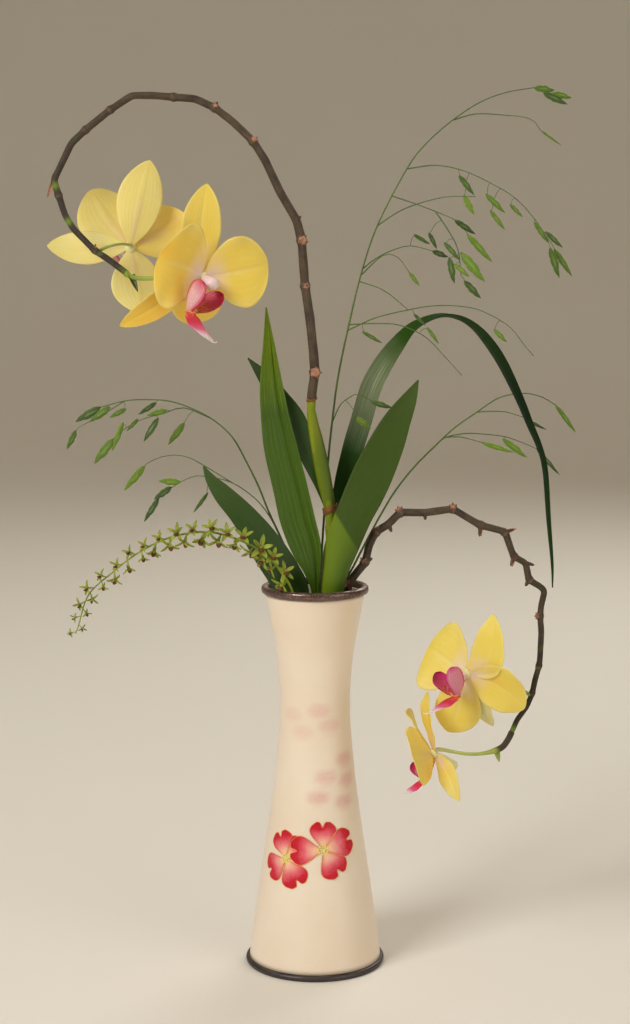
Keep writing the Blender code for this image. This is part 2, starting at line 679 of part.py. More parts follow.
def spikelet(name, base, tip, width, rng):
    """A flat scaly ear: diamonds along a short axis, closed in a point at each end."""
    axis = tip - base
    facing = Vector((rng.uniform(-EAR_TURN, EAR_TURN), -1.0, rng.uniform(-EAR_TILT, EAR_TILT)))
    side = axis.cross(facing).normalized()
    front = axis.cross(side).normalized()
    shape = bmesh.new()
    first = shape.verts.new(base)
    last = shape.verts.new(tip)
    rows = []
    for share, fullness in zip(SPIKELET_ROWS, SPIKELET_SHAPE):
        middle = base + axis * share
        half = width / 2.0 * fullness
        deep = max(EAR_LEAST_DEPTH, half * EAR_DEPTH)
        offsets = (side * half, front * deep, side * -half, front * -deep)
        rows.append([shape.verts.new(middle + offset) for offset in offsets])
    for corner in range(4):
        following = (corner + 1) % 4
        shape.faces.new((first, rows[0][following], rows[0][corner]))
        shape.faces.new((last, rows[-1][corner], rows[-1][following]))
        for low, high in zip(rows, rows[1:]):
            shape.faces.new((low[corner], low[following], high[following], high[corner]))
    return solid_from_bmesh(name, shape)


def spray(name, at_waist, main, branches, spikelets, material, seed):
    """A grass: each branch starts on what is already there, and each spikelet hangs on a stalk."""
    rng = random.Random(seed)
    foot, waist = below_rim(at_waist)
    routes = [smooth_route(main, GRASS_STEP)]
    radii = tapered(len(routes[0]), GRASS_RADIUS, STALK_RADIUS)
    pieces = [tube(name, [foot, waist] + routes[0], [GRASS_RADIUS] * 2 + radii, 1)]
    for number, branch in enumerate(branches):
        start = nearest_on(routes, branch[0])
        route = smooth_route([start] + [Vector(place) for place in branch[1:]], GRASS_STEP)
        radii = tapered(len(route), BRANCH_RADIUS, STALK_RADIUS)
        pieces.append(tube(f"branch_{number}", route, radii, 0))
        routes.append(route)
    for number, (base, tip, width) in enumerate(spikelets):
        base = Vector(base)
        tip = Vector(tip)
        start = nearest_on(routes, base)
        sunk = base.lerp(tip, EAR_ON_STALK)
        if (start - base).length > LEAST_STALK:
            pieces.append(tube(f"stalk_{number}", [start, sunk], [STALK_RADIUS] * 2, 0))
        else:
            base = start - (tip - start).normalized() * EAR_ROOT
        pieces.append(spikelet(f"spikelet_{number}", base, tip, width, rng))
    finish(fuse(pieces, "MANIFOLD"), name, material)


GRASS_RIGHT_MAIN = (
    (0.0020, 0.0075, 0.215), (0.003, 0.006, 0.240), (0.0055, 0.006, 0.280), (0.008, 0.006, 0.315),
    (0.0105, 0.0065, 0.340), (0.014, 0.007, 0.367), (0.020, 0.008, 0.3965), (0.028, 0.010, 0.430),
    (0.038, 0.012, 0.460), (0.056, 0.015, 0.4945), (0.068, 0.017, 0.510), (0.084, 0.019, 0.524),
    (0.101, 0.021, 0.535), (0.117, 0.023, 0.541), (0.134, 0.025, 0.544),
)
GRASS_RIGHT_BRANCHES = (
    ((0.084, 0.019, 0.524), (0.098, 0.024, 0.528), (0.114, 0.030, 0.528), (0.133, 0.036, 0.526),
     (0.140, 0.038, 0.519)),
    ((0.056, 0.015, 0.4945), (0.074, 0.022, 0.497), (0.092, 0.030, 0.494), (0.109, 0.038, 0.487),
     (0.125, 0.044, 0.478), (0.138, 0.048, 0.465), (0.146, 0.049, 0.453)),
    ((0.038, 0.012, 0.460), (0.050, 0.004, 0.468), (0.062, -0.003, 0.473), (0.079, -0.008, 0.477),
     (0.096, -0.012, 0.477)),
    ((0.047, 0.0137, 0.478), (0.060, 0.017, 0.474), (0.074, 0.020, 0.469), (0.084, 0.023, 0.465)),
    ((0.0285, 0.010, 0.432), (0.037, 0.016, 0.440), (0.047, 0.022, 0.445), (0.059, 0.028, 0.448),
     (0.073, 0.032, 0.445)),
    ((0.074, 0.020, 0.469), (0.081, 0.012, 0.458), (0.087, 0.007, 0.446), (0.089, 0.005, 0.430)),
    ((0.028, 0.010, 0.431), (0.041, 0.002, 0.442), (0.050, -0.003, 0.441), (0.057, -0.006, 0.432)),
    ((0.0275, 0.010, 0.428), (0.042, 0.004, 0.421), (0.057, -0.002, 0.409)),
    ((0.020, 0.008, 0.3965), (0.036, 0.003, 0.404), (0.055, -0.001, 0.409), (0.074, -0.004, 0.412),
     (0.093, -0.006, 0.411), (0.105, -0.008, 0.407), (0.118, -0.010, 0.399), (0.126, -0.011, 0.389),
     (0.132, -0.012, 0.382)),
    ((0.021, 0.008, 0.400), (0.037, 0.002, 0.401), (0.052, -0.002, 0.400), (0.067, -0.005, 0.393),
     (0.080, -0.007, 0.380), (0.089, -0.008, 0.370)),
    ((0.0105, 0.0065, 0.340), (0.016, 0.001, 0.352), (0.024, -0.003, 0.358)),
)
GRASS_RIGHT_EARS = (
    ((0.134, 0.025, 0.544), (0.147, 0.027, 0.5425), 0.0045),
    ((0.146, 0.027, 0.541), (0.158, 0.030, 0.538), 0.0040),
    ((0.140, 0.026, 0.541), (0.155, 0.028, 0.534), 0.0045),
    ((0.140, 0.038, 0.519), (0.153, 0.040, 0.510), 0.0022),
    ((0.138, 0.048, 0.463), (0.147, 0.050, 0.450), 0.0045),
    ((0.145, 0.048, 0.457), (0.156, 0.050, 0.447), 0.0045),
    ((0.148, 0.047, 0.447), (0.154, 0.048, 0.428), 0.0050),
    ((0.151, 0.050, 0.446), (0.163, 0.0565, 0.429), 0.0050),
    ((0.106, 0.034, 0.480), (0.118, 0.032, 0.468), 0.0040),
    ((0.122, 0.043, 0.474), (0.130, 0.044, 0.466), 0.0035),
    ((0.086, 0.023, 0.464), (0.099, 0.024, 0.455), 0.0040),
    ((0.094, 0.022, 0.455), (0.109, 0.020, 0.438), 0.0055),
    ((0.089, 0.028, 0.491), (0.098, 0.026, 0.479), 0.0050),
    ((0.092, 0.029, 0.479), (0.098, 0.026, 0.467), 0.0045),
    ((0.109, 0.036, 0.470), (0.118, 0.034, 0.458), 0.0040),
    ((0.073, 0.032, 0.445), (0.083, 0.034, 0.441), 0.0040),
    ((0.079, 0.009, 0.450), (0.088, 0.004, 0.439), 0.0045),
    ((0.082, 0.008, 0.441), (0.085, 0.006, 0.425), 0.0045),
    ((0.085, 0.006, 0.437), (0.094, 0.003, 0.429), 0.0040),
    ((0.091, 0.005, 0.427), (0.101, 0.004, 0.416), 0.0045),
    ((0.089, 0.005, 0.444), (0.103, 0.000, 0.426), 0.0060),
    ((0.061, 0.024, 0.455), (0.071, 0.026, 0.449), 0.0038),
    ((0.070, 0.019, 0.456), (0.075, 0.019, 0.446), 0.0038),
    ((0.057, -0.006, 0.432), (0.063, -0.007, 0.424), 0.0035),
    ((0.060, -0.003, 0.407), (0.067, -0.004, 0.400), 0.0030),
    ((0.068, -0.006, 0.399), (0.075, -0.007, 0.389), 0.0030),
    ((0.108, -0.009, 0.398), (0.116, -0.010, 0.390), 0.0030),
    ((0.029, 0.004, 0.396), (0.041, 0.003, 0.389), 0.0035),
    ((0.034, -0.004, 0.354), (0.047, -0.006, 0.350), 0.0050),
    ((0.0255, -0.003, 0.344), (0.034, -0.003, 0.337), 0.0040),
)

GRASS_LEFT_MAIN = (
    (-0.0095, 0.0085, 0.215), (-0.0115, 0.008, 0.240), (-0.0165, 0.008, 0.257), (-0.023, 0.008, 0.272),
    (-0.029, 0.009, 0.285), (-0.035, 0.010, 0.300), (-0.043, 0.012, 0.316), (-0.051, 0.014, 0.330),
    (-0.062, 0.017, 0.340), (-0.075, 0.020, 0.347), (-0.090, 0.022, 0.352), (-0.105, 0.024, 0.353),
    (-0.119, 0.025, 0.352), (-0.134, 0.026, 0.348),
)
GRASS_LEFT_BRANCHES = (
    ((-0.065, 0.0175, 0.342), (-0.081, 0.008, 0.349), (-0.093, 0.002, 0.346), (-0.105, -0.003, 0.343),
     (-0.115, -0.006, 0.338), (-0.123, -0.007, 0.331)),
    ((-0.023, 0.008, 0.272), (-0.029, 0.007, 0.283), (-0.037, 0.006, 0.293), (-0.051, 0.004, 0.303),
     (-0.066, 0.002, 0.307), (-0.076, 0.000, 0.307), (-0.089, -0.002, 0.300), (-0.096, -0.003, 0.294)),
    ((-0.051, 0.004, 0.303), (-0.072, 0.010, 0.315), (-0.083, 0.013, 0.319), (-0.095, 0.016, 0.318),
     (-0.104, 0.016, 0.314)),
    ((-0.119, 0.025, 0.352), (-0.132, 0.024, 0.344), (-0.145, 0.022, 0.337)),
)
GRASS_LEFT_EARS = (
    ((-0.134, 0.026, 0.348), (-0.150, 0.026, 0.339), 0.0055),
    ((-0.128, 0.026, 0.348), (-0.141, 0.024, 0.339), 0.0050),
    ((-0.118, 0.025, 0.347), (-0.128, 0.022, 0.342), 0.0045),
    ((-0.149, 0.022, 0.334), (-0.155, 0.020, 0.322), 0.0040),
    ((-0.099, 0.023, 0.351), (-0.110, 0.020, 0.344), 0.0045),
    ((-0.091, 0.002, 0.348), (-0.103, 0.000, 0.345), 0.0040),
    ((-0.096, 0.002, 0.343), (-0.105, 0.000, 0.329), 0.0060),
    ((-0.081, 0.014, 0.339), (-0.091, 0.012, 0.326), 0.0060),
    ((-0.117, -0.005, 0.341), (-0.124, -0.007, 0.324), 0.0050),
    ((-0.108, -0.003, 0.343), (-0.115, -0.008, 0.336), 0.0035),
    ((-0.123, -0.007, 0.331), (-0.135, -0.008, 0.316), 0.0055),
    ((-0.106, 0.016, 0.312), (-0.119, 0.016, 0.297), 0.0060),
    ((-0.082, -0.001, 0.304), (-0.096, -0.002, 0.305), 0.0045),
    ((-0.088, -0.002, 0.301), (-0.099, -0.006, 0.294), 0.0045),
    ((-0.096, -0.003, 0.294), (-0.105, -0.004, 0.280), 0.0050),
    ((-0.066, 0.002, 0.297), (-0.075, 0.000, 0.285), 0.0035),
)

GRASS_LOW_MAIN = (
    (0.0165, 0.0085, 0.215), (0.0195, 0.009, 0.240), (0.024, 0.0095, 0.250), (0.032, 0.009, 0.266),
    (0.041, 0.008, 0.283), (0.050, 0.008, 0.298), (0.062, 0.009, 0.313), (0.075, 0.010, 0.326),
    (0.087, 0.011, 0.337), (0.100, 0.012, 0.346), (0.112, 0.013, 0.354), (0.122, 0.014, 0.357),
    (0.131, 0.015, 0.3575), (0.141, 0.016, 0.355), (0.1495, 0.017, 0.350),
)
GRASS_LOW_BRANCHES = (
    ((0.100, 0.012, 0.346), (0.107, 0.006, 0.347), (0.117, 0.002, 0.347), (0.127, 0.001, 0.344)),
    ((0.075, 0.010, 0.326), (0.081, 0.016, 0.330), (0.094, 0.022, 0.332), (0.107, 0.027, 0.331),
     (0.120, 0.031, 0.329), (0.131, 0.034, 0.325), (0.140, 0.036, 0.321)),
    ((0.080, 0.015, 0.3295), (0.090, 0.014, 0.3305), (0.104, 0.013, 0.327)),
)
GRASS_LOW_EARS = (
    ((0.1495, 0.017, 0.350), (0.162, 0.017, 0.333), 0.0040),
    ((0.128, 0.001, 0.343), (0.142, 0.001, 0.336), 0.0030),
    ((0.140, 0.036, 0.321), (0.155, 0.037, 0.304), 0.0028),
    ((0.104, 0.013, 0.327), (0.123, 0.012, 0.321), 0.0045),
    ((0.118, 0.030, 0.328), (0.133, 0.028, 0.316), 0.0045),
)


# Blooms. A tepal is (kind, tip, width, bulge towards the face), then how far it leans to one side of
# its middle line, in half widths, and a face of its own if it is twisted. A lip is (callus, out, up,
# size); a column points along its aim
PETAL = "petal"
SEPAL = "sepal"
BROAD_SEPAL = "broad_sepal"
BLOOMS = (
    {
        "centre": (-0.113, 0.012, 0.447), "facing": (-0.30, 0.92, -0.25),
        "tepals": (
            (SEPAL, (-0.1005, 0.010, 0.4995), 0.028, 0.06), (SEPAL, (-0.163, 0.006, 0.448), 0.021, 0.04),
            (SEPAL, (-0.1050, 0.009, 0.4065), 0.032, 0.04), (PETAL, (-0.1375, 0.022, 0.4820), 0.037, 0.10),
            (PETAL, (-0.079, 0.026, 0.466), 0.034, 0.10),
        ),
        "lip": ((-0.1160, 0.0225, 0.4322), (-0.30, 0.90, -0.32), (-0.10, 0.25, 0.96), 0.85),
        "column": (-0.30, 0.90, -0.30),
    },
    {
        "centre": (-0.066, -0.032, 0.430), "facing": (0.30, -0.92, -0.20),
        "tepals": (
            (SEPAL, (-0.0635, -0.030, 0.484), 0.024, 0.04, -0.25), (SEPAL, (-0.115, -0.040, 0.401), 0.016, 0.05),
            (SEPAL, (-0.0755, -0.010, 0.401), 0.030, 0.05), (PETAL, (-0.092, -0.050, 0.439), 0.053, 0.08, 0.08),
            (PETAL, (-0.028, -0.026, 0.438), 0.044, 0.06, 0.06),
        ),
        "lip": ((-0.0752, -0.0390, 0.4086), (0.68, -0.66, -0.33), (0.50, 0.06, 0.86), 1.1),
        "column": (0.55, -0.72, -0.42),
    },
    {
        "centre": (0.092, -0.028, 0.190), "facing": (-0.72, -0.62, -0.22),
        "tepals": (
            (BROAD_SEPAL, (0.1069, -0.038, 0.2285), 0.0250, 0.05, 0.80),
            (SEPAL, (0.0826, -0.008, 0.149), 0.029, 0.05, -0.14, (-0.35, -0.88, -0.30)),
            (SEPAL, (0.110, -0.014, 0.154), 0.018, 0.05),
            (PETAL, (0.0707, -0.001, 0.2012), 0.046, 0.08, 0.0, (-0.66, -0.66, 0.35)),
            (PETAL, (0.1267, -0.040, 0.1713), 0.0347, 0.06, -0.40),
        ),
        "lip": ((0.0869, -0.0400, 0.1774), (-0.86, -0.52, 0.02), (-0.17, 0.31, 0.94), 0.98),
        "column": (-0.60, -0.75, -0.25),
    },
    {
        "centre": (0.073, -0.020, 0.138), "facing": (-0.74, -0.24, -0.55),
        "tepals": (
            (SEPAL, (0.0690, -0.021, 0.177), 0.018, 0.05, 0.0, (-0.96, -0.28, 0.0)),
            (SEPAL, (0.0877, -0.037, 0.1127), 0.0165, 0.05, -0.45, (-0.45, -0.80, -0.40)),
            (SEPAL, (0.0896, 0.010, 0.125), 0.016, 0.05),
            (PETAL, (0.061, 0.006, 0.159), 0.032, 0.06, 0.0, (-0.877, -0.07, -0.48)),
            (PETAL, (0.0584, -0.046, 0.1437), 0.037, 0.03, 0.0, (-0.84, 0.39, -0.38)),
        ),
        "lip": ((0.0685, -0.0220, 0.1222), (-0.94, -0.25, -0.22), (-0.22, 0.0, 0.97), 0.62),
        "column": (-0.85, -0.05, -0.45),
    },
)
HUB_RADIUS = 0.0038
HUB_DEPTH = 0.003
CLAW_HALF_WIDTH = 0.0024
TEPAL_FORMS = {
    PETAL: {"rows": 6, "cells": 4, "peak": 1.25, "fullness": 0.55, "offset": 0.0006},
    SEPAL: {"rows": 5, "cells": 2, "peak": 1.10, "fullness": 0.70, "offset": -0.0006},
    BROAD_SEPAL: {"rows": 6, "cells": 2, "peak": 0.80, "fullness": 0.60, "offset": -0.0006},
}
TEPAL_START = 0.001
TEPAL_CUP = 0.10
BULGE_PEAK = 6.75

# Column: shares of its length and radii, at size 1
COLUMN_START = 0.0021
COLUMN_LENGTH = 0.0115
COLUMN_SHAPE = ((0.0, 0.0012), (0.15, 0.0018), (0.45, 0.0025), (0.75, 0.0031), (0.93, 0.0027), (1.0, 0.0014))

# Lip in its own frame: x to the side, y out of the flower, z up; places and half widths at size 1
MIDDLE_LOBE = (
    (0.0, -0.0006, 0.0004, 0.0018), (0.0, 0.0035, 0.0006, 0.0030), (0.0, 0.0080, -0.0002, 0.0044),
    (0.0, 0.0125, -0.0018, 0.0048), (0.0, 0.0170, -0.0038, 0.0040), (0.0, 0.0205, -0.0055, 0.0026),
    (0.0, 0.0228, -0.0066, 0.0009),
)
MIDDLE_LOBE_DROP = 0.0030
SIDE_LOBE = (
    (0.0008, 0.0002, 0.0004, 0.0018), (0.0038, 0.0018, 0.0038, 0.0040), (0.0066, 0.0038, 0.0086, 0.0062),
    (0.0084, 0.0058, 0.0128, 0.0064), (0.0091, 0.0068, 0.0152, 0.0048), (0.0094, 0.0076, 0.0174, 0.0016),
)
SIDE_LOBE_ACROSS = (-0.086, 0.925, -0.369)
SIDE_LOBE_CUP = 0.0013
TENDRIL = ((0.0004, 0.0220, -0.0062), (0.0012, 0.0242, -0.0070), (0.0034, 0.0252, -0.0066))
TENDRIL_RADII = (0.0006, 0.0005, 0.0004)
CALLUS = ((0.0, -0.0010, 0.0008), (0.0, 0.0030, 0.0020))
CALLUS_RADIUS = 0.0014
STRAP_OUT = 0.0030
STRAP_DOWN = 0.0034
STRAP_RADIUS = 0.0010
STRAP_END = 0.4
LIP_THICKNESS = 0.0009


def tepal(name, kind, centre, facing, tip, width, bulge, lean=0.0, own_face=None):
    """A petal or sepal from the hub to its tip, broad in the middle, its tip rounded."""
    form = TEPAL_FORMS[kind]
    tip = Vector(tip)
    face = Vector(own_face) if own_face else facing
    start = centre + facing * form["offset"]
    root = start + (tip - start).normalized() * TEPAL_START
    length = (tip - root).length
    direction = (tip - root).normalized()
    side = direction.cross(face).normalized()
    outward = side.cross(direction).normalized()
    rows = form["rows"]
    spine = []
    half_widths = []
    for row in range(rows + 1):
        share = math.sin(math.pi / 2 * row / rows)
        raised = bulge * length * BULGE_PEAK * share ** 2 * (1.0 - share)
        half = width / 2 * math.sin(math.pi * share ** form["peak"]) ** form["fullness"]
        spine.append(root + direction * length * share + outward * raised + side * half * lean)
        half_widths.append(max(CLAW_HALF_WIDTH * (1.0 - share), half, TIP_HALF_WIDTH))

    def cup(share, across):
        return TEPAL_CUP * width / 2 * across ** 2 * math.sin(math.pi * share)

    thicknesses = [PETAL_THICKNESS] * (rows + 1)
    return blade(name, spine, [side] * (rows + 1), half_widths, thicknesses, form["cells"], cup)


def bloom_frame(bloom):
    """Facing and a matrix that takes the bloom's own frame to its place."""
    centre = Vector(bloom["centre"])
    facing = Vector(bloom["facing"]).normalized()
    up = Vector(bloom["tepals"][0][1]) - centre
    up = (up - facing * up.dot(facing)).normalized()
    side = facing.cross(up)
    turn = Matrix((side, facing, up)).transposed().to_4x4()
    return centre, facing, Matrix.Translation(centre) @ turn


def lip_frame(bloom):
    """The matrix that takes the lip's own frame to its place."""
    callus, out, up, size = bloom["lip"]
    out = Vector(out).normalized()
    up = Vector(up)
    up = (up - out * up.dot(out)).normalized()
    turn = Matrix((out.cross(up), out, up)).transposed().to_4x4()
    return Matrix.Translation(Vector(callus)) @ turn @ Matrix.Scale(size, 4)


def lobe(name, frame, stations, across, lift):
    """A lobe of the lip from its stations, its side square to its length."""
    spine = [frame @ Vector(station[:3]) for station in stations]
    size = frame.to_scale().x
    rows = len(spine) - 1
    sides = []
    for row in range(rows + 1):
        along = (spine[min(row + 1, rows)] - spine[max(row - 1, 0)]).normalized()
        way = (frame.to_3x3() @ Vector(across)).normalized()
        sides.append((way - along * way.dot(along)).normalized())
    half_widths = [station[3] * size for station in stations]
    return blade(name, spine, sides, half_widths, [LIP_THICKNESS] * len(spine), 2, lift)


def make_lip(bloom):
    centre, facing, own = bloom_frame(bloom)
    frame = lip_frame(bloom)
    size = bloom["lip"][3]

    def middle_drop(share, across):
        return -MIDDLE_LOBE_DROP * size * abs(across) * math.sin(math.pi * share)

    pieces = [lobe("middle_lobe", frame, MIDDLE_LOBE, (1.0, 0.0, 0.0), middle_drop)]
    for sign in (-1.0, 1.0):
        def side_cup(_share, across, sign=sign):
            return -sign * SIDE_LOBE_CUP * size * across ** 2

        stations = [(sign * station[0], *station[1:]) for station in SIDE_LOBE]
        across = (sign * SIDE_LOBE_ACROSS[0], *SIDE_LOBE_ACROSS[1:])
        pieces.append(lobe("side_lobe", frame, stations, across, side_cup))
        tendril = [frame @ Vector((sign * place[0], *place[1:])) for place in TENDRIL]
        pieces.append(tube("tendril", tendril, TENDRIL_RADII, 0))
    callus = [frame @ Vector(place) for place in CALLUS]
    pieces.append(tube("callus", callus, [CALLUS_RADIUS * size] * 2, 0))
    strap = [own @ Vector((0.0, STRAP_OUT, -STRAP_DOWN)), callus[0].lerp(callus[1], STRAP_END)]
    pieces.append(tube("strap", strap, [STRAP_RADIUS] * 2, 0))
    return fuse(pieces)


def make_bloom(number, bloom, yellow, crimson, pale):
    centre, facing, frame = bloom_frame(bloom)
    hub_ends = [centre - facing * HUB_DEPTH / 2, centre + facing * HUB_DEPTH / 2]
    pieces = [tube("hub", hub_ends, [HUB_RADIUS] * 2, 2)]
    for index, (kind, *shape) in enumerate(bloom["tepals"]):
        pieces.append(tepal(f"tepal_{index}", kind, centre, facing, *shape))
    finish(fuse(pieces), f"bloom_{number}_tepals", yellow)

    size = 0.6 + 0.4 * bloom["lip"][3]
    aim = Vector(bloom["column"]).normalized()
    start = centre + facing * COLUMN_START
    route = [start + aim * COLUMN_LENGTH * size * share for share, _ in COLUMN_SHAPE]
    radii = [radius * size for _, radius in COLUMN_SHAPE]
    finish(tube("column", route, radii, 1), f"bloom_{number}_column", pale)
    finish(make_lip(bloom), f"bloom_{number}_lip", crimson)


# Pedicels: each starts on its spike and ends behind its bloom's hub, square to it
PEDICEL_RADIUS = 0.0011
PEDICEL_KNOB_RADIUS = 0.0018
PEDICEL_STRAIGHT = 0.005
PEDICEL_STEP = 0.006
BRACT_MIDDLE = 0.4
BRACT_RADII = (0.0009, 0.0014, 0.0003)
PEDICELS = (
    {
        "name": "pedicel_1", "bloom": 0, "radius": PEDICEL_RADIUS, "bract": None,
        "places": ((-0.1291, -0.0105, 0.4455), (-0.1240, -0.0095, 0.4475), (-0.1170, -0.005, 0.4490)),
    },
    {
        "name": "pedicel_2", "bloom": 1, "radius": PEDICEL_KNOB_RADIUS,
        "bract": ((-0.1100, -0.0180, 0.4298), (-0.1065, -0.0200, 0.4205)),
        "places": ((-0.11198, -0.0171, 0.43105), (-0.1080, -0.0185, 0.4289), (-0.0950, -0.0195, 0.4287),
                   (-0.0800, -0.0195, 0.4305)),
    },
    {
        "name": "pedicel_3", "bloom": 2, "radius": PEDICEL_RADIUS, "bract": None,
        "places": ((0.1316, -0.0102, 0.1738), (0.1230, -0.0125, 0.1790), (0.1120, -0.0170, 0.1850)),
    },
    {
        "name": "pedicel_4", "bloom": 3, "radius": PEDICEL_KNOB_RADIUS,
        "bract": ((0.1120, -0.0157, 0.1395), (0.1138, -0.0165, 0.1325)),
        "places": ((0.1213, -0.0141, 0.1497), (0.1190, -0.0150, 0.1452), (0.1150, -0.0155, 0.1405),
                   (0.1060, -0.0158, 0.1370), (0.0940, -0.0160, 0.1375)),
    },
)


def make_pedicel(pedicel, green):
    centre, facing, _ = bloom_frame(BLOOMS[pedicel["bloom"]])
    back = centre - facing * (HUB_DEPTH / 2 + GAP)
    places = list(pedicel["places"]) + [back - facing * PEDICEL_STRAIGHT, back]
    route = smooth_route(places, PEDICEL_STEP)
    radii = [pedicel["radius"]] + [PEDICEL_RADIUS] * (len(route) - 1)
    stalk = tube(pedicel["name"], route, radii, 1)
    if pedicel["bract"]:
        root, point = [Vector(place) for place in pedicel["bract"]]
        bract = tube("bract", [root, root.lerp(point, BRACT_MIDDLE), point], BRACT_RADII, 0)
        stalk = fuse([stalk, bract])
    finish(stalk, pedicel["name"], green)


def main():
    clear_scene()
    glaze = surface("cream_glaze", (0.86, 0.74, 0.58), 0.35)
    metal = surface("dark_metal", (0.10, 0.06, 0.045), 0.45, 0.6)
    water = surface("water", (0.75, 0.80, 0.78), 0.05)
    cane_green = surface("cane_green", (0.16, 0.30, 0.04), 0.45)
    leaf_green = surface("leaf_green", (0.05, 0.22, 0.03), 0.40)
    dark_green = surface("dark_green", (0.015, 0.10, 0.035), 0.35)
    grass_green = surface("grass_green", (0.12, 0.30, 0.05), 0.55)
    raceme_green = surface("raceme_green", (0.25, 0.36, 0.04), 0.55)
    bark = surface("spike_brown", (0.10, 0.065, 0.045), 0.65)
    yellow = surface("petal_yellow", (0.88, 0.74, 0.22), 0.50)
    crimson = surface("lip_crimson", (0.60, 0.02, 0.12), 0.45)
    pale = surface("column_pale", (0.90, 0.78, 0.76), 0.45)

    make_vase(glaze, metal)
    make_water(water)
    make_cane(cane_green)
    make_pleated_leaf(leaf_green)
    make_left_leaf(leaf_green)
    make_strap_leaf(dark_green)
    make_spikes(bark)
    make_raceme(raceme_green)
    spray("grass_right", GRASS_RIGHT_AT_WAIST, GRASS_RIGHT_MAIN, GRASS_RIGHT_BRANCHES,
          GRASS_RIGHT_EARS, grass_green, 11)
    spray("grass_left", GRASS_LEFT_AT_WAIST, GRASS_LEFT_MAIN, GRASS_LEFT_BRANCHES,
          GRASS_LEFT_EARS, grass_green, 12)
    spray("grass_low", GRASS_LOW_AT_WAIST, GRASS_LOW_MAIN, GRASS_LOW_BRANCHES,
          GRASS_LOW_EARS, grass_green, 13)
    for number, bloom in enumerate(BLOOMS, start=1):
        make_bloom(number, bloom, yellow, crimson, pale)
    for pedicel in PEDICELS:
        make_pedicel(pedicel, cane_green)


main()
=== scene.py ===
# %% [markdown]
# An orchid arrangement in a tall waisted vase.
# The model was built first as plain solids, and this lesson dresses them: each stem, leaf, flower and
# grass is modelled again in fine detail in the place that its solid holds, and gets its own finish.

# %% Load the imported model
import math
import random

import bpy
from mathutils import Matrix, Vector


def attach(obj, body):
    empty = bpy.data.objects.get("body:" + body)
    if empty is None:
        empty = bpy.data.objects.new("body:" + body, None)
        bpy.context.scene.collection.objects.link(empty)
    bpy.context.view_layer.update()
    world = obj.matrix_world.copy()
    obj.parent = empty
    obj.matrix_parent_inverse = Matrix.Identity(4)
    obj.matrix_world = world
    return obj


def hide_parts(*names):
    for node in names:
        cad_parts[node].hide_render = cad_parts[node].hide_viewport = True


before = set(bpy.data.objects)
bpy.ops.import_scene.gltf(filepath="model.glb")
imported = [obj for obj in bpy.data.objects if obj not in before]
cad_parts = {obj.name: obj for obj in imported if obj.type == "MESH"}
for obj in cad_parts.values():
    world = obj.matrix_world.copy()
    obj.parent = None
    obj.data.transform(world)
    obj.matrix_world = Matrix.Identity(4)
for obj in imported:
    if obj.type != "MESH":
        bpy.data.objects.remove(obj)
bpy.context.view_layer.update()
print("nodes in the frame:", len(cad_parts))

# %% [markdown]
# The camera stands a little above the flowers and looks slightly down, as a product photograph does.
# It is placed first, because every later choice of detail depends on what it sees.

# %% Camera
CAMERA_PLACE = (0.0, -1.216, 0.4425)
CAMERA_TILT = 0.1285
CAMERA_LENS = 69.96

bpy.ops.object.camera_add(location=CAMERA_PLACE, rotation=(math.pi / 2 - CAMERA_TILT, 0.0, 0.0))
camera = bpy.context.object
camera.name = "camera"
camera.data.lens = CAMERA_LENS
camera.data.sensor_width = 36.0
camera.data.clip_end = 30.0
bpy.context.scene.camera = camera
bpy.context.scene.view_settings.view_transform = "Standard"
print("camera at", tuple(camera.location))

# %% [markdown]
# A studio floor that curves up into a wall all round shows no horizon from any side.
# It is a flat grid whose outer rings are lifted, so that floor and wall are one smooth sheet.

# %% Studio floor and lights
FLOOR_REACH = 5.0
FLOOR_FLAT = 2.7
FLOOR_SIDES = 96
WALL_HEIGHT = 2.6
WALL_STEPS = 12
LIGHTS_AIM = Vector((0.0, 0.0, 0.28))
WORLD_STRENGTH = 1.45


def tone(red, green, blue):
    """A colour as picked on a screen, turned into the linear light that shaders work in."""
    levels = [value / 255.0 for value in (red, green, blue)]
    light = [level / 12.92 if level <= 0.04045 else ((level + 0.055) / 1.055) ** 2.4 for level in levels]
    return (*light, 1.0)


def only(item):
    """Leaves one object selected and active."""
    bpy.ops.object.select_all(action="DESELECT")
    item.select_set(True)
    bpy.context.view_layer.objects.active = item
    return item


def add(tree, kind, inputs=(), **settings):
    """Adds one shader node, sets it up, and feeds its inputs with values or other nodes' outputs."""
    node = tree.nodes.new(kind)
    for name, value in settings.items():
        setattr(node, name, value)
    for key, value in dict(inputs).items():
        if isinstance(value, bpy.types.NodeSocket):
            tree.links.new(value, node.inputs[key])
        else:
            node.inputs[key].default_value = value
    return node


def start_material(name, **sockets):
    """A new material, with plain values set on its shader's own sockets."""
    material = bpy.data.materials.new(name)
    material.use_nodes = True
    tree = material.node_tree
    shader = tree.nodes["Principled BSDF"]
    for socket, value in sockets.items():
        shader.inputs[socket.replace("_", " ")].default_value = value
    return material, tree, shader


def mixed(tree, share, first, second, way="MIX"):
    inputs = {0: share, 6: first, 7: second}
    return add(tree, "ShaderNodeMix", inputs, data_type="RGBA", blend_type=way).outputs[2]


def position(tree):
    return add(tree, "ShaderNodeTexCoord").outputs["Object"]


def noise(tree, vector, scale, detail):
    inputs = {"Vector": vector, "Scale": scale, "Detail": detail}
    return add(tree, "ShaderNodeTexNoise", inputs).outputs["Fac"]


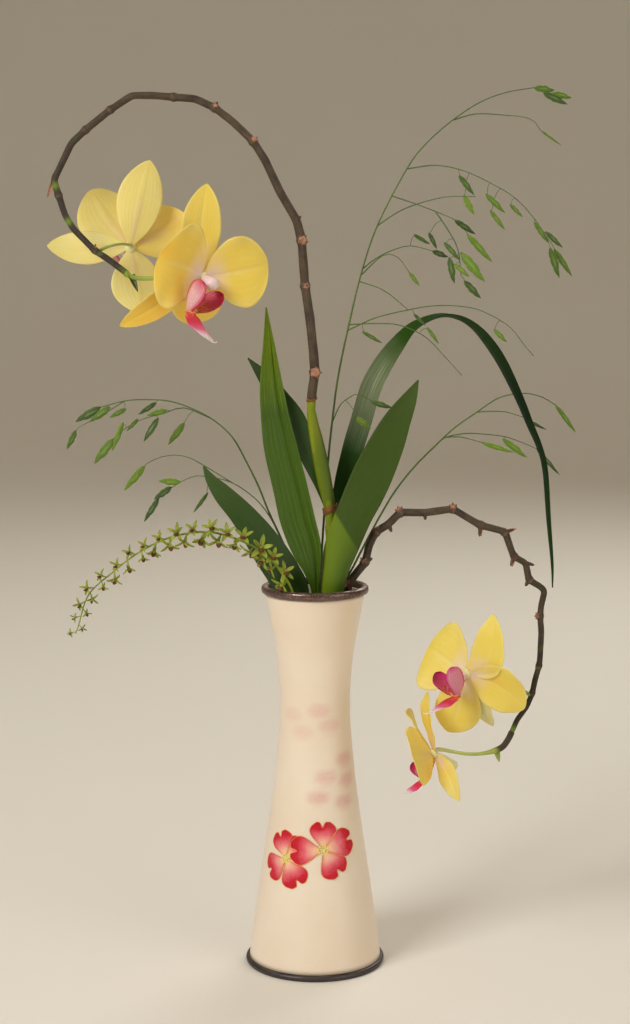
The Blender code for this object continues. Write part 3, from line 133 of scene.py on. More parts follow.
bpy.ops.mesh.primitive_circle_add(vertices=FLOOR_SIDES, radius=FLOOR_FLAT, fill_type="NGON")
floor = bpy.context.object
floor.name = "studio_floor"
bpy.ops.object.mode_set(mode="EDIT")
bpy.ops.mesh.select_mode(type="EDGE")
bpy.ops.mesh.select_all(action="DESELECT")
bpy.ops.mesh.select_non_manifold()
for step in range(WALL_STEPS):
    before = math.pi / 2 * step / WALL_STEPS
    turn = math.pi / 2 * (step + 1) / WALL_STEPS
    rise = WALL_HEIGHT * (math.cos(before) - math.cos(turn))
    reach = FLOOR_FLAT + (FLOOR_REACH - FLOOR_FLAT) * math.sin(turn)
    growth = reach / (FLOOR_FLAT + (FLOOR_REACH - FLOOR_FLAT) * math.sin(before))
    bpy.ops.mesh.extrude_region_move(TRANSFORM_OT_translate={"value": (0.0, 0.0, rise)})
    bpy.ops.transform.resize(value=(growth, growth, 1.0), center_override=(0, 0, 0))
bpy.ops.object.mode_set(mode="OBJECT")
bpy.ops.object.shade_smooth()

plaster, tree, shader = start_material("Studio paper", Roughness=0.85)
cloud = noise(tree, position(tree), 1.5, 3.0)
paper = mixed(tree, cloud, tone(242, 235, 222), tone(246, 240, 229))
tree.links.new(paper, shader.inputs["Base Color"])
floor.data.materials.append(plaster)

LIGHTS = (
    ("key_light", (-1.25, -1.35, 1.45), 0.9, 27.0),
    ("fill_light", (1.5, -1.3, 0.8), 1.4, 9.0),
    ("back_light", (0.7, 1.4, 1.5), 1.0, 10.0),
)
for name, spot, size, power in LIGHTS:
    aim = (LIGHTS_AIM - Vector(spot)).to_track_quat("-Z", "Y")
    bpy.ops.object.light_add(type="AREA", location=spot, rotation=aim.to_euler())
    lamp = bpy.context.object
    lamp.name = name
    lamp.data.size = size
    lamp.data.energy = power
    print(name, power, "W")

world = bpy.data.worlds.new("Studio")
bpy.context.scene.world = world
world.use_nodes = True
background = world.node_tree.nodes["Background"].inputs
background["Color"].default_value = (1.0, 0.97, 0.92, 1.0)
background["Strength"].default_value = WORLD_STRENGTH

# %% [markdown]
# Leaves, petals and stems all begin as a flat grid, because a grid keeps a clean UV map however it is
# laid out in space. A leaf is the grid bent along its midrib, and a stem is the grid rolled into a tube.

# %% Grids laid along a route
WELD = 0.00001
FRONT = Vector((0.0, -1.0, 0.0))
UP = Vector((0.0, 0.0, 1.0))


def paint(item, name, values):
    """Writes a value for each point, under a name that a material can read."""
    layer = item.data.attributes.get(name) or item.data.attributes.new(name, "FLOAT", "POINT")
    layer.data.foreach_set("value", values)
    return item


def sheet(name, cells, rows, place, **paints):
    """A grid laid where place(across -1 to 1, along 0 to 1) says; paints are numbers or like functions."""
    bpy.ops.mesh.primitive_grid_add(x_subdivisions=cells, y_subdivisions=rows, size=2.0)
    item = bpy.context.object
    item.name = name
    item.data.name = name
    spots = [(vert.co.x, (vert.co.y + 1.0) / 2.0) for vert in item.data.vertices]
    for vert, spot in zip(item.data.vertices, spots):
        vert.co = place(*spot)
    for layer, value in paints.items():
        paint(item, layer, [value(*spot) if callable(value) else value for spot in spots])
    return item


def weld(item):
    """Merges points that touch and turns every face outwards."""
    only(item)
    bpy.ops.object.mode_set(mode="EDIT")
    bpy.ops.mesh.select_all(action="SELECT")
    bpy.ops.mesh.remove_doubles(threshold=WELD)
    bpy.ops.mesh.normals_make_consistent(inside=False)
    bpy.ops.object.mode_set(mode="OBJECT")
    return item


def thicken(item, thickness):
    """Gives a sheet its thickness, and marks its back with 1 in the value called rear."""
    only(item)
    count = len(item.data.vertices)
    wall = item.modifiers.new("wall", "SOLIDIFY")
    wall.thickness = thickness
    wall.offset = 0.0
    bpy.ops.object.modifier_apply(modifier=wall.name)
    return paint(item, "rear", [float(index >= count) for index in range(len(item.data.vertices))])


def smooth(stations, spacing):
    """Stations about a spacing apart on a smooth curve through the given ones, with all their numbers."""
    knots = [Vector(station) for station in stations]
    ends = [2.0 * knots[0] - knots[1]] + knots + [2.0 * knots[-1] - knots[-2]]
    route = []
    for index in range(len(knots) - 1):
        before, start, end, after = ends[index:index + 4]
        count = max(1, round((end.xyz - start.xyz).length / spacing))
        for part in range(count):
            t = part / count
            bend = (2.0 * before - 5.0 * start + 4.0 * end - after) * t ** 2
            twist = (3.0 * start - before - 3.0 * end + after) * t ** 3
            route.append(0.5 * (2.0 * start + (end - before) * t + bend + twist))
    return route + [knots[-1]]


def path(stations, spacing):
    """The places alone of such a curve."""
    return [station.xyz for station in smooth(stations, spacing)]


def tangents(route):
    last = len(route) - 1
    return [(route[min(i + 1, last)] - route[max(i - 1, 0)]).normalized() for i in range(last + 1)]


def rings(route):
    """At each place of a route: two directions square to it, turning as little as they can."""
    side = tangents(route)[0].orthogonal().normalized()
    pairs = []
    for along in tangents(route):
        side = (side - along * side.dot(along)).normalized()
        pairs.append((side, along.cross(side)))
    return pairs


def rolled(name, route, radii, around, ribs=0, rib_depth=0.0, **paints):
    """A stem: a grid rolled round its route, with its long seam and both ends welded shut."""
    pairs = rings(route)
    route = [route[0]] + route + [route[-1]]
    radii = [0.0] + list(radii) + [0.0]
    pairs = [pairs[0]] + pairs + [pairs[-1]]

    def place(across, along):
        row = round(along * (len(route) - 1))
        angle = math.pi * across
        side, front = pairs[row]
        radius = radii[row] * (1.0 + rib_depth * math.cos(ribs * angle))
        return route[row] + (side * math.cos(angle) + front * math.sin(angle)) * radius

    return weld(sheet(name, around, len(route) - 1, place, **paints))


def joined(name, items):
    """Several meshes made into one object."""
    bpy.ops.object.select_all(action="DESELECT")
    for item in items:
        item.select_set(True)
    bpy.context.view_layer.objects.active = items[0]
    if len(items) > 1:
        bpy.ops.object.join()
    items[0].name = name
    items[0].data.name = name
    return items[0]


def copied(master, matrix):
    """A copy of a master shape with its own mesh, moved into its place."""
    twin = master.copy()
    twin.data = master.data.copy()
    twin.data.transform(matrix)
    bpy.context.scene.collection.objects.link(twin)
    return twin


def coat(item, material):
    """One material all over, and smooth shading."""
    item.data.materials.clear()
    item.data.materials.append(material)
    item.data.shade_smooth()
    return item


def keep(item, slot, *nodes):
    """The finished piece rides on the object's one body and stands for its CAD nodes."""
    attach(item, "root")
    if nodes:
        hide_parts(*nodes)
    print(item.name, len(item.data.polygons), "faces")


# %% [markdown]
# Real surfaces are never one flat colour. Two effects are shared by many finishes here, so each is a
# node group: mottle gives soft patches and fine grain, and grain lines run along a leaf or a petal.

# %% Shared shader effects
def start_group(name, inputs, outputs):
    group = bpy.data.node_groups.new(name, "ShaderNodeTree")
    for socket, value in inputs.items():
        item = group.interface.new_socket(name=socket, in_out="INPUT", socket_type="NodeSocketFloat")
        item.default_value = value
    for socket in outputs:
        group.interface.new_socket(name=socket, in_out="OUTPUT", socket_type="NodeSocketFloat")
    return group, group.nodes.new("NodeGroupInput"), group.nodes.new("NodeGroupOutput")


def maths(tree, operation, first, second=0.5):
    return add(tree, "ShaderNodeMath", {0: first, 1: second}, operation=operation).outputs["Value"]


def times(tree, first, second):
    return maths(tree, "MULTIPLY", first, second)


def parts(tree, vector):
    """The x, y and z of a vector."""
    return add(tree, "ShaderNodeSeparateXYZ", {0: vector}).outputs


def faces_to(tree, axis):
    """How far the surface faces along an axis of the world, from -1 to 1."""
    return parts(tree, add(tree, "ShaderNodeNewGeometry").outputs["Normal"])[axis]


def speckles(tree, scale):
    inputs = {"Vector": position(tree), "Scale": scale}
    return add(tree, "ShaderNodeTexVoronoi", inputs).outputs["Distance"]


def ramp(tree, value, stops):
    """Colours at places from 0 to 1 along a value."""
    node = add(tree, "ShaderNodeValToRGB", {"Fac": value})
    elements = node.color_ramp.elements
    elements[0].position, elements[0].color = stops[0]
    elements[1].position, elements[1].color = stops[-1]
    for place, colour in stops[1:-1]:
        elements.new(place).color = colour
    return node.outputs["Color"]


def span(tree, value, low, high, low_to=0.0, high_to=1.0):
    """A value taken from one range to another."""
    inputs = {"Value": value, "From Min": low, "From Max": high, "To Min": low_to, "To Max": high_to}
    return add(tree, "ShaderNodeMapRange", inputs).outputs["Result"]


def upto(tree, value, most):
    """A value from 0 to 1 taken to a share of itself."""
    return span(tree, value, 0.0, 1.0, 0.0, most)


MOTTLE_SIZES = {"Patch size": 60.0, "Grain size": 900.0}
MOTTLE, source, sink = start_group("Mottle", MOTTLE_SIZES, ("Patches", "Grain"))
spot = position(MOTTLE)
for wanted, size in (("Patches", "Patch size"), ("Grain", "Grain size")):
    cloud = noise(MOTTLE, spot, source.outputs[size], 3.0)
    MOTTLE.links.new(span(MOTTLE, cloud, 0.3, 0.7), sink.inputs[wanted])

LINE_VALUES = ("Line", "Streak", "Margin", "Along")
LINES, source, sink = start_group("Grain lines", {"Lines": 10.0, "Waver": 2.0}, LINE_VALUES)
across, along, _ = parts(LINES, add(LINES, "ShaderNodeUVMap").outputs["UV"])
lines_across = times(LINES, across, source.outputs["Lines"])
wide = add(LINES, "ShaderNodeCombineXYZ", {0: times(LINES, lines_across, 0.4), 1: along}).outputs[0]
waver = maths(LINES, "SUBTRACT", noise(LINES, wide, 3.0, 2.0), 0.5)
swing = times(LINES, waver, source.outputs["Waver"])
turn = maths(LINES, "ADD", times(LINES, lines_across, math.tau), swing)
wave = maths(LINES, "MULTIPLY_ADD", maths(LINES, "COSINE", turn), 0.5)
stretched = {0: times(LINES, lines_across, 2.5), 1: times(LINES, along, 9.0)}
long_way = add(LINES, "ShaderNodeCombineXYZ", stretched).outputs[0]
streak = span(LINES, noise(LINES, long_way, 1.6, 4.0), 0.3, 0.7)
from_middle = maths(LINES, "ABSOLUTE", maths(LINES, "SUBTRACT", across, 0.5))
made = (maths(LINES, "POWER", wave, 5.0), streak, times(LINES, from_middle, 2.0), along)
for name, value in zip(LINE_VALUES, made):
    LINES.links.new(value, sink.inputs[name])


def mottle(tree, patch_size, grain_size):
    sizes = {"Patch size": patch_size, "Grain size": grain_size}
    return add(tree, "ShaderNodeGroup", sizes, node_tree=MOTTLE).outputs


def grain_lines(tree, lines, waver):
    return add(tree, "ShaderNodeGroup", {"Lines": lines, "Waver": waver}, node_tree=LINES).outputs


def attribute(tree, name):
    return add(tree, "ShaderNodeAttribute", attribute_name=name).outputs["Fac"]


def surface(tree, shader, colour, rough, relief):
    """Links a colour, a roughness that follows a value between two limits, and a fine relief."""
    value, smoothest, roughest = rough
    height, distance, strength = relief
    bumps = add(tree, "ShaderNodeBump", {"Height": height, "Distance": distance, "Strength": strength})
    tree.links.new(colour, shader.inputs["Base Color"])
    tree.links.new(span(tree, value, 0.0, 1.0, smoothest, roughest), shader.inputs["Roughness"])
    tree.links.new(bumps.outputs["Normal"], shader.inputs["Normal"])


print("shared effects:", MOTTLE.name, LINES.name)

# %% [markdown]
# The vase is a turned shape: wide foot, narrow waist, flared mouth. One ring of points is extruded up
# the outside, over the lip and down the inside, and scaled about the axis at each step, which is how a
# thrown pot grows. The pale flowers under the glaze are painted on its points as soft spots. From here
# on, tables of places and widths are written in millimetres, and metres() makes them metres.

# %% Vase shell
def metres(table):
    """A table of places and widths that is written in millimetres, in metres."""
    return tuple(metres(item) for item in table) if isinstance(table, tuple) else round(table / 1000, 7)


AXIS = 0.0001
VASE_WALL = 0.002
VASE_UNDERSIDE = 0.0038
VASE_FLOOR_TOP = 0.009
VASE_SIDES = 144
VASE_PROFILE = metres((
    (41.3, 0, 3.8), (37.2, 0, 35), (31.6, 0, 73), (26.3, 0, 110), (22.6, 0, 147), (21.9, 0, 165),
    (22.3, 0, 180), (24.3, 0, 200), (27.2, 0, 216), (29.7, 0, 230), (30.8, 0, 234.7),
))
VASE_OUTLINE = [(station.x, station.z) for station in smooth(VASE_PROFILE, 0.003)]
GHOST_PETALS = (
    (-40.0, 0.162, 0.35), (6.0, 0.1652, 0.6), (24.0, 0.1554, 0.55), (-20.0, 0.1511, 0.4),
    (50.0, 0.1337, 0.8), (16.3, 0.1237, 0.75), (52.0, 0.1205, 0.85), (4.7, 0.1116, 0.85),
    (42.3, 0.1079, 0.9),
)
GHOST_WIDE = 0.0074
GHOST_HIGH = 0.0044


def vase_radius(height):
    for (low_radius, low), (high_radius, high) in zip(VASE_OUTLINE, VASE_OUTLINE[1:]):
        if height <= high:
            return low_radius + (high_radius - low_radius) * (height - low) / (high - low)
    return VASE_OUTLINE[-1][0]


def turned(name, profile):
    """A ring of points extruded through (radius, height) places; the last place closes on the first."""
    radius, height = profile[0]
    bpy.ops.mesh.primitive_circle_add(vertices=VASE_SIDES, radius=radius, location=(0.0, 0.0, height))
    item = bpy.context.object
    bpy.ops.object.transform_apply(location=True, rotation=False, scale=False)
    bpy.ops.object.mode_set(mode="EDIT")
    bpy.ops.mesh.select_mode(type="EDGE")
    bpy.ops.mesh.select_all(action="SELECT")
    for (before, low), (radius, height) in zip(profile, profile[1:]):
        bpy.ops.mesh.extrude_region_move(TRANSFORM_OT_translate={"value": (0.0, 0.0, height - low)})
        scale = radius / before
        bpy.ops.transform.resize(value=(scale, scale, 1.0), center_override=(0.0, 0.0, height))
    bpy.ops.object.mode_set(mode="OBJECT")
    item.name = name
    item.data.name = name
    return weld(item)


def ghost_at(point):
    """How much of the soft pink shows at a point of the glaze."""
    shade = 0.0
    if math.hypot(point.x, point.y) > vase_radius(point.z) - VASE_WALL / 2:
        for degrees, height, strength in GHOST_PETALS:
            away = (math.atan2(point.x, -point.y) - math.radians(degrees)) * vase_radius(height)
            spread = (away / GHOST_WIDE) ** 2 + ((point.z - height) / GHOST_HIGH) ** 2
            shade = max(shade, strength * math.exp(-spread ** 2.2))
    return shade


inside = [(radius - VASE_WALL, height) for radius, height in VASE_OUTLINE if height > VASE_FLOOR_TOP][::-1]
floor_edge = vase_radius(VASE_FLOOR_TOP) - VASE_WALL
profile = [(AXIS, VASE_UNDERSIDE)] + VASE_OUTLINE + inside
profile += [(floor_edge, VASE_FLOOR_TOP), (AXIS, VASE_FLOOR_TOP)]
shell = turned("vase_shell", profile)
paint(shell, "stain", [ghost_at(vert.co) for vert in shell.data.vertices])

# %% [markdown]
# The glaze is a warm cream with a satin gloss. Large soft patches shift its colour a little, and a very
# fine relief breaks up the highlight as orange peel does on a real glaze.

# %% Cream glaze
glaze, tree, shader = start_material("Cream glaze", Coat_Weight=0.25, Coat_Roughness=0.35)
patches, grain = mottle(tree, 22.0, 500.0)
cream = mixed(tree, patches, tone(249, 233, 210), tone(244, 223, 197))
ghost = times(tree, attribute(tree, "stain"), span(tree, grain, 0.0, 1.0, 0.45, 0.62))
colour = mixed(tree, ghost, cream, tone(228, 150, 150))
surface(tree, shader, colour, (grain, 0.36, 0.48), (grain, 0.00005, 0.5))
coat(shell, glaze)
keep(shell, "cream_glaze", "vase_body")

# %% [markdown]
# Rim and foot are bound with dark metal bands. Each is a ring with a rounded section: the profile goes
# round the section once, and the weld closes it. The patina is brown, and the faces that look up are
# painted brighter: partly wear, partly a painted highlight along the top edges.

# %% Rim and foot bands
CORNER_STEPS = 5


def band(name, inner, outer, low, high, corner):
    """A ring whose section is a rounded rectangle."""
    corners = (
        (outer - corner, low + corner, -90), (outer - corner, high - corner, 0),
        (inner + corner, high - corner, 90), (inner + corner, low + corner, 180),
    )
    section = []
    for radius, height, start in corners:
        for step in range(CORNER_STEPS + 1):
            angle = math.radians(start + 90 * step / CORNER_STEPS)
            section.append((radius + corner * math.cos(angle), height + corner * math.sin(angle)))
    return turned(name, section + section[:1])


def patina(name, dark, wear_and_highlight, rough):
    material, tree, shader = start_material(name, Metallic=0.75)
    patches, grain = mottle(tree, 90.0, 1200.0)
    # Faces that look up are painted brighter: partly wear, partly a painted highlight on the top edges.
    top_wear_and_highlight = times(tree, span(tree, faces_to(tree, 2), 0.75, 1.0), span(tree, patches, 0.2, 1.0))
    colour = mixed(tree, upto(tree, grain, 0.35), dark, wear_and_highlight)
    colour = mixed(tree, top_wear_and_highlight, colour, wear_and_highlight)
    surface(tree, shader, colour, (patches, rough - 0.08, rough + 0.1), (grain, 0.0001, 0.4))
    return material


rim = band("rim_band", 0.0288, 0.0332, 0.235, 0.240, 0.0019)
coat(rim, patina("Rim patina", tone(72, 44, 38), tone(206, 182, 170), 0.26))
keep(rim, "dark_metal", "rim_ring")
foot = band("foot_band", 0.037, 0.0435, 0.0, 0.0035, 0.0014)
coat(foot, patina("Foot patina", tone(66, 60, 60), tone(120, 112, 108), 0.4))
keep(foot, "dark_metal", "foot_ring")

# %% [markdown]
# Two enamel blossoms stand on the shoulder of the foot. Each petal is a thin raised sheet laid on the
# vase's own curve, with a bite out of its tip, and a gold wire follows its edge. This is a plain
# blossom of the builder's own drawing, of the common kind with four notched petals.

# %% Enamel blossoms
PETAL_LENGTH = 0.0170
PETAL_HALF = 0.0088
PETAL_START = 0.0022
BITE = 0.24
WIRE_RADIUS = 0.00017
ENAMEL_LIFT = 0.00012
ENAMEL_THICKNESS = 0.00022
ENAMEL_DOME = 0.00012
OVERLAP_LIFT = 0.00004
WIRE_LIFT = 0.0002
DOT_LIFT = 0.00035
LEFT_PETALS = ((113, 0.98), (217, 1.02), (302, 1.08), (38, 0.95))
RIGHT_PETALS = ((88, 1.0), (14, 1.24), (-58, 1.1), (182, 1.2))
BLOSSOMS = ((-34.6, 0.0735, 0.0, LEFT_PETALS), (9.2, 0.0799, 0.00018, RIGHT_PETALS))
PETAL_EDGE = [(-1.0, step / 16) for step in range(17)] + [(-1.0 + step / 16, 1.0) for step in range(1, 32)]
PETAL_EDGE += [(1.0, 1.0 - step / 16) for step in range(17)]
DOT_RADIUS = 0.00075
DOT_RINGS = ((0.0, 5, range(1)), (0.0013, 5, range(1, 6)), (0.0027, 9, range(6, 15)))


def on_vase(angle, height, lift):
    radius = vase_radius(height) + lift
    return Vector((radius * math.sin(angle), -radius * math.cos(angle), height))


def petal_spot(centre, height, heading, stretch, across, along, lift):
    """A place on an enamel petal, wrapped on the vase."""
    half = PETAL_HALF * math.sin(math.pi * (0.05 + 0.80 * along ** 1.35)) ** 0.85
    bite = BITE * math.exp(-((across - 0.1) / 0.26) ** 2) * along ** 7
    reach = PETAL_START + (PETAL_LENGTH * stretch - PETAL_START) * along * (1.0 - bite)
    sway = half * across
    heading = math.radians(heading)
    right = reach * math.cos(heading) - sway * math.sin(heading)
    up = reach * math.sin(heading) + sway * math.cos(heading)
    return on_vase(centre + right / vase_radius(height), height + up, lift)


enamel_petals = []
wires = []
for degrees, height, lift, blossom in BLOSSOMS:
    centre = math.radians(degrees)
    for number, (heading, stretch) in enumerate(blossom):
        raised = lift + OVERLAP_LIFT * number

        def enamel(across, along):
            dome = ENAMEL_DOME * (1.0 - across ** 2) * math.sin(math.pi * along)
            return petal_spot(centre, height, heading, stretch, across, along, raised + ENAMEL_LIFT + dome)

        enamel_petals.append(thicken(sheet("enamel_petal", 26, 26, enamel), ENAMEL_THICKNESS))
        wired = raised + WIRE_LIFT
        route = [petal_spot(centre, height, heading, stretch, *spot, wired) for spot in PETAL_EDGE]
        wires.append(rolled("wire", route, [WIRE_RADIUS] * len(route), 8))

rng = random.Random(5)
bpy.ops.mesh.primitive_uv_sphere_add(segments=12, ring_count=8, radius=DOT_RADIUS)
dot = bpy.context.object
bpy.ops.object.mode_set(mode="EDIT")
bpy.ops.transform.resize(value=(1.0, 0.45, 1.0))
bpy.ops.object.mode_set(mode="OBJECT")
dots = []
for degrees, height, lift, _ in BLOSSOMS:
    for away, share, numbers in DOT_RINGS:
        for number in numbers:
            heading = number * math.tau / share + 0.3
            side = math.radians(degrees) + away * math.cos(heading) / vase_radius(height)
            spot = on_vase(side, height + away * math.sin(heading), lift + DOT_LIFT)
            size = rng.uniform(0.8, 1.1)
            turn = Matrix.Rotation(side, 4, "Z") @ Matrix.Scale(size, 4)
            dots.append(copied(dot, Matrix.Translation(spot) @ turn))
bpy.data.objects.remove(dot, do_unlink=True)

enamel_look = {"Coat_Weight": 0.1, "Coat_Roughness": 0.2, "Specular_IOR_Level": 0.2}
crimson_enamel, tree, shader = start_material("Crimson enamel", **enamel_look)
_, streak, margin, along = grain_lines(tree, 9.0, 3.0)
patches, grain = mottle(tree, 160.0, 1500.0)
reach = maths(tree, "ADD", along, times(tree, maths(tree, "SUBTRACT", patches, 0.5), 0.16))
shade = ramp(tree, reach, (
    (0.0, tone(254, 214, 130)), (0.16, tone(252, 196, 166)), (0.46, tone(240, 112, 124)),
    (0.74, tone(212, 10, 44)), (1.0, tone(196, 0, 30)),
))
edged = times(tree, maths(tree, "POWER", margin, 3.0), 0.7)
rosy = mixed(tree, edged, shade, tone(204, 6, 36))
colour = mixed(tree, times(tree, streak, 0.06), rosy, tone(250, 176, 172))
surface(tree, shader, colour, (grain, 0.25, 0.4), (streak, 0.00004, 0.4))
petals = coat(joined("enamel_petals", enamel_petals), crimson_enamel)
keep(petals, "lip_crimson")

gold, tree, shader = start_material("Gold wire", Metallic=0.6)
patches, grain = mottle(tree, 300.0, 2500.0)
colour = mixed(tree, patches, tone(252, 180, 96), tone(240, 124, 60))
surface(tree, shader, colour, (grain, 0.3, 0.45), (grain, 0.00003, 0.5))
keep(coat(joined("gold_wires", wires), gold), "dark_metal")

yellow_enamel, tree, shader = start_material("Yellow enamel", Coat_Weight=0.5, Coat_Roughness=0.2)
patches, grain = mottle(tree, 900.0, 3000.0)
colour = mixed(tree, patches, tone(252, 218, 96), tone(246, 236, 150))
surface(tree, shader, colour, (grain, 0.3, 0.4), (grain, 0.00003, 0.4))
keep(coat(joined("enamel_dots", dots), yellow_enamel), "petal_yellow")

# %% [markdown]
# The water fills the vase to below its waist and can't be seen from outside. Its CAD solid already has
# the right shape, with a hole for each stem, so it only gets a finish: clear, a little green, and
# faintly rippled on top.

# %% Water
water, tree, shader = start_material("Vase water", Transmission_Weight=0.9, IOR=1.33)
patches, grain = mottle(tree, 60.0, 240.0)
colour = mixed(tree, patches, tone(226, 240, 228), tone(206, 226, 208))
surface(tree, shader, colour, (grain, 0.02, 0.07), (grain, 0.0003, 0.3))
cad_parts["water"].data.materials.clear()
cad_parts["water"].data.materials.append(water)
print("water keeps its solid")

# %% [markdown]
# A long leaf is a strip of grid that follows its midrib. Its section is part of a circle: nearly closed
# round the stem at the base, and opening to an almost flat blade. A blade's rows give the midrib's place
# and the half width. Its turns give the twist about the midrib and how far the section is rolled, both
# in degrees.

# %% Leaf maker
STEM_SPREAD = 1.5
WAIST_HEIGHT = 0.165
STEM_FOOT_HEIGHT = 0.0093
PETIOLE = (0.0022, 0, 300)
LEAF_THICKNESS = 0.00045
LEAF_SPACING = 0.0022
THINNEST = 0.0002
HIDDEN_SHARES = (0.0, 0.33, 0.67, 1.0)


def below_rim(at_waist, *rest):
    """Foot, water and waist stations of a stem: straight in the water, then through the neck."""
    x, y = at_waist
    foot = Vector((x * STEM_SPREAD, y * STEM_SPREAD, STEM_FOOT_HEIGHT))
    waist = Vector((x, y, WAIST_HEIGHT))
    return [(*foot.lerp(waist, share), *rest) for share in HIDDEN_SHARES]


def leaf(name, head, blade, turns, cells, relief=None, spacing=LEAF_SPACING):
    """A leaf from a blade and its turns, after a head with both; relief(share, across) lifts its face."""
    route = smooth(head + [(*station, *turn) for station, turn in zip(blade, turns)], spacing)
    spine = [station.xyz for station in route]
    along_route = tangents(spine)

    def place(across, along):
        row = round(along * (len(route) - 1))
        half, twist, roll = route[row][3:6]
        tangent = along_route[row]
        flat = tangent.cross(FRONT).normalized()
        side = Matrix.Rotation(math.radians(twist), 3, tangent) @ flat
        normal = side.cross(tangent)
        bend = math.radians(roll if abs(roll) > 1.0 else 1.0) / 2.0
        radius = max(half, THINNEST) / bend
        sway = side * radius * math.sin(across * bend)
        lift = relief(along, across) if relief else 0.0
        return spine[row] + sway + normal * (radius * (1.0 - math.cos(across * bend)) + lift)

    return thicken(sheet(name, cells, len(route) - 1, place), LEAF_THICKNESS)


def leaf_finish(name, base, middle, tip, dark, lines, rough, relief=0.00025, fade=0.5, **sockets):
    """A leaf's colours from base to tip, darker grain lines, streaks and mottling."""
    material, tree, shader = start_material(name, **sockets)
    line, streak, _, along = grain_lines(tree, lines, 2.5)
    patches, grain = mottle(tree, 120.0, 1400.0)
    colour = ramp(tree, along, ((0.0, base), (fade, middle), (0.84, middle), (1.0, tip)))
    colour = mixed(tree, times(tree, line, 0.45), colour, dark)
    colour = mixed(tree, upto(tree, streak, 0.45), colour, dark)
    colour = mixed(tree, upto(tree, patches, 0.22), colour, base)
    colour = mixed(tree, upto(tree, grain, 0.2), colour, tip, "SOFT_LIGHT")
    grooves = maths(tree, "ADD", line, times(tree, streak, 0.5))
    surface(tree, shader, colour, (streak, rough - 0.07, rough + 0.1), (grooves, relief, 0.5))
    return material


# %% [markdown]
# The tall leaf in the middle is pleated: fine ribs run its whole length, and one deep fold makes its
# right part stand back. The ribs are real waves across the grid, and the finish only deepens them.

# %% Pleated leaf
PLEATED_BLADE = metres((
    (0, -14.5, 215, 2.4), (0, -14.5, 237, 2.8), (-1.5, -14.5, 250.5, 6), (-5, -14.2, 265, 9.8),
    (-10.5, -13.8, 283, 11), (-15, -12.5, 302.5, 10.8), (-20.5, -11, 325, 10.4), (-24, -10, 344, 8.8),
    (-26.5, -9, 365, 6.9), (-28, -9, 390, 3.4), (-29.5, -8, 411, 0.4),
))
PLEATED_TURNS = (
    (0, 200), (0, 170), (-4, 120), (-8, 60), (-10, 36), (-10, 30), (-8, 26), (-6, 24), (-4, 24),
    (0, 40), (0, 60),
)


def pleats(share, across):
    grown = min(1.0, max(0.0, (share - 0.5) / 0.08)) * min(1.0, (1.0 - share) / 0.08)
    ribs = 0.00032 * math.cos(across * math.pi * 7.0)
    fold = -0.0016 * math.exp(-((across - 0.32) / 0.10) ** 2)
    return grown * (ribs + fold)


pleated_head = below_rim((-0.002, -0.013), *PETIOLE)
pleated = leaf("pleated_leaf", pleated_head, PLEATED_BLADE, PLEATED_TURNS, 44, pleats)
# The tip tone is a bright yellow-green: painted light, as if shining through the top of the leaf.
pleated_green = leaf_finish("Pleated leaf green", tone(60, 84, 0), tone(76, 106, 8), tone(162, 188, 36),
                            tone(30, 54, 0), 14.0, 0.42, fade=0.62, Specular_IOR_Level=0.35)
keep(coat(pleated, pleated_green), "leaf_green", "leaf_pleated")

# %% [markdown]
# The left leaf leans out low behind the hanging flower string. It is a plain broad blade, dark green,
# with a shallow keel down its middle.

# %% Left leaf
LEFT_LEAF_BLADE = metres((
    (-11, -6, 200, 5), (-12, -7, 220, 9), (-13, -8, 237.5, 10.8), (-19, -8.5, 249.5, 11.4),
    (-27, -9, 262, 11.3), (-35.5, -9.5, 274.5, 10), (-45, -10, 286.5, 8.2), (-55.5, -10, 297.5, 6.4),
    (-63.5, -10, 307, 3.4), (-68, -10, 315, 0.4),
))
LEFT_LEAF_TURNS = (
    (0, 200), (-6, 120), (-10, 70), (-14, 40), (-16, 30), (-16, 26), (-16, 24), (-14, 24), (-10, 30),
    (-6, 40),
)


def keel(share, across):
    return 0.0009 * abs(across) * math.sin(math.pi * min(1.0, max(0.0, (share - 0.5) * 2.0)))


left_head = below_rim((-0.011, -0.004), *PETIOLE)
left_leaf = leaf("left_leaf", left_head, LEFT_LEAF_BLADE, LEFT_LEAF_TURNS, 26, keel)
dark_leaf = leaf_finish("Dark leaf green", tone(44, 74, 4), tone(50, 84, 12), tone(70, 100, 18),
                        tone(28, 50, 16), 20.0, 0.4, 0.00012)
keep(coat(left_leaf, dark_leaf), "leaf_green", "leaf_left")

# %% [markdown]
# The strap leaf rises behind, turns edge on at the top of its arch and hangs with its underside
# showing. Its skin is dark blue green. On the bend a whitish band with fine bright streaks is painted
# sheen and highlight, and the hanging underside is painted darker as shade.

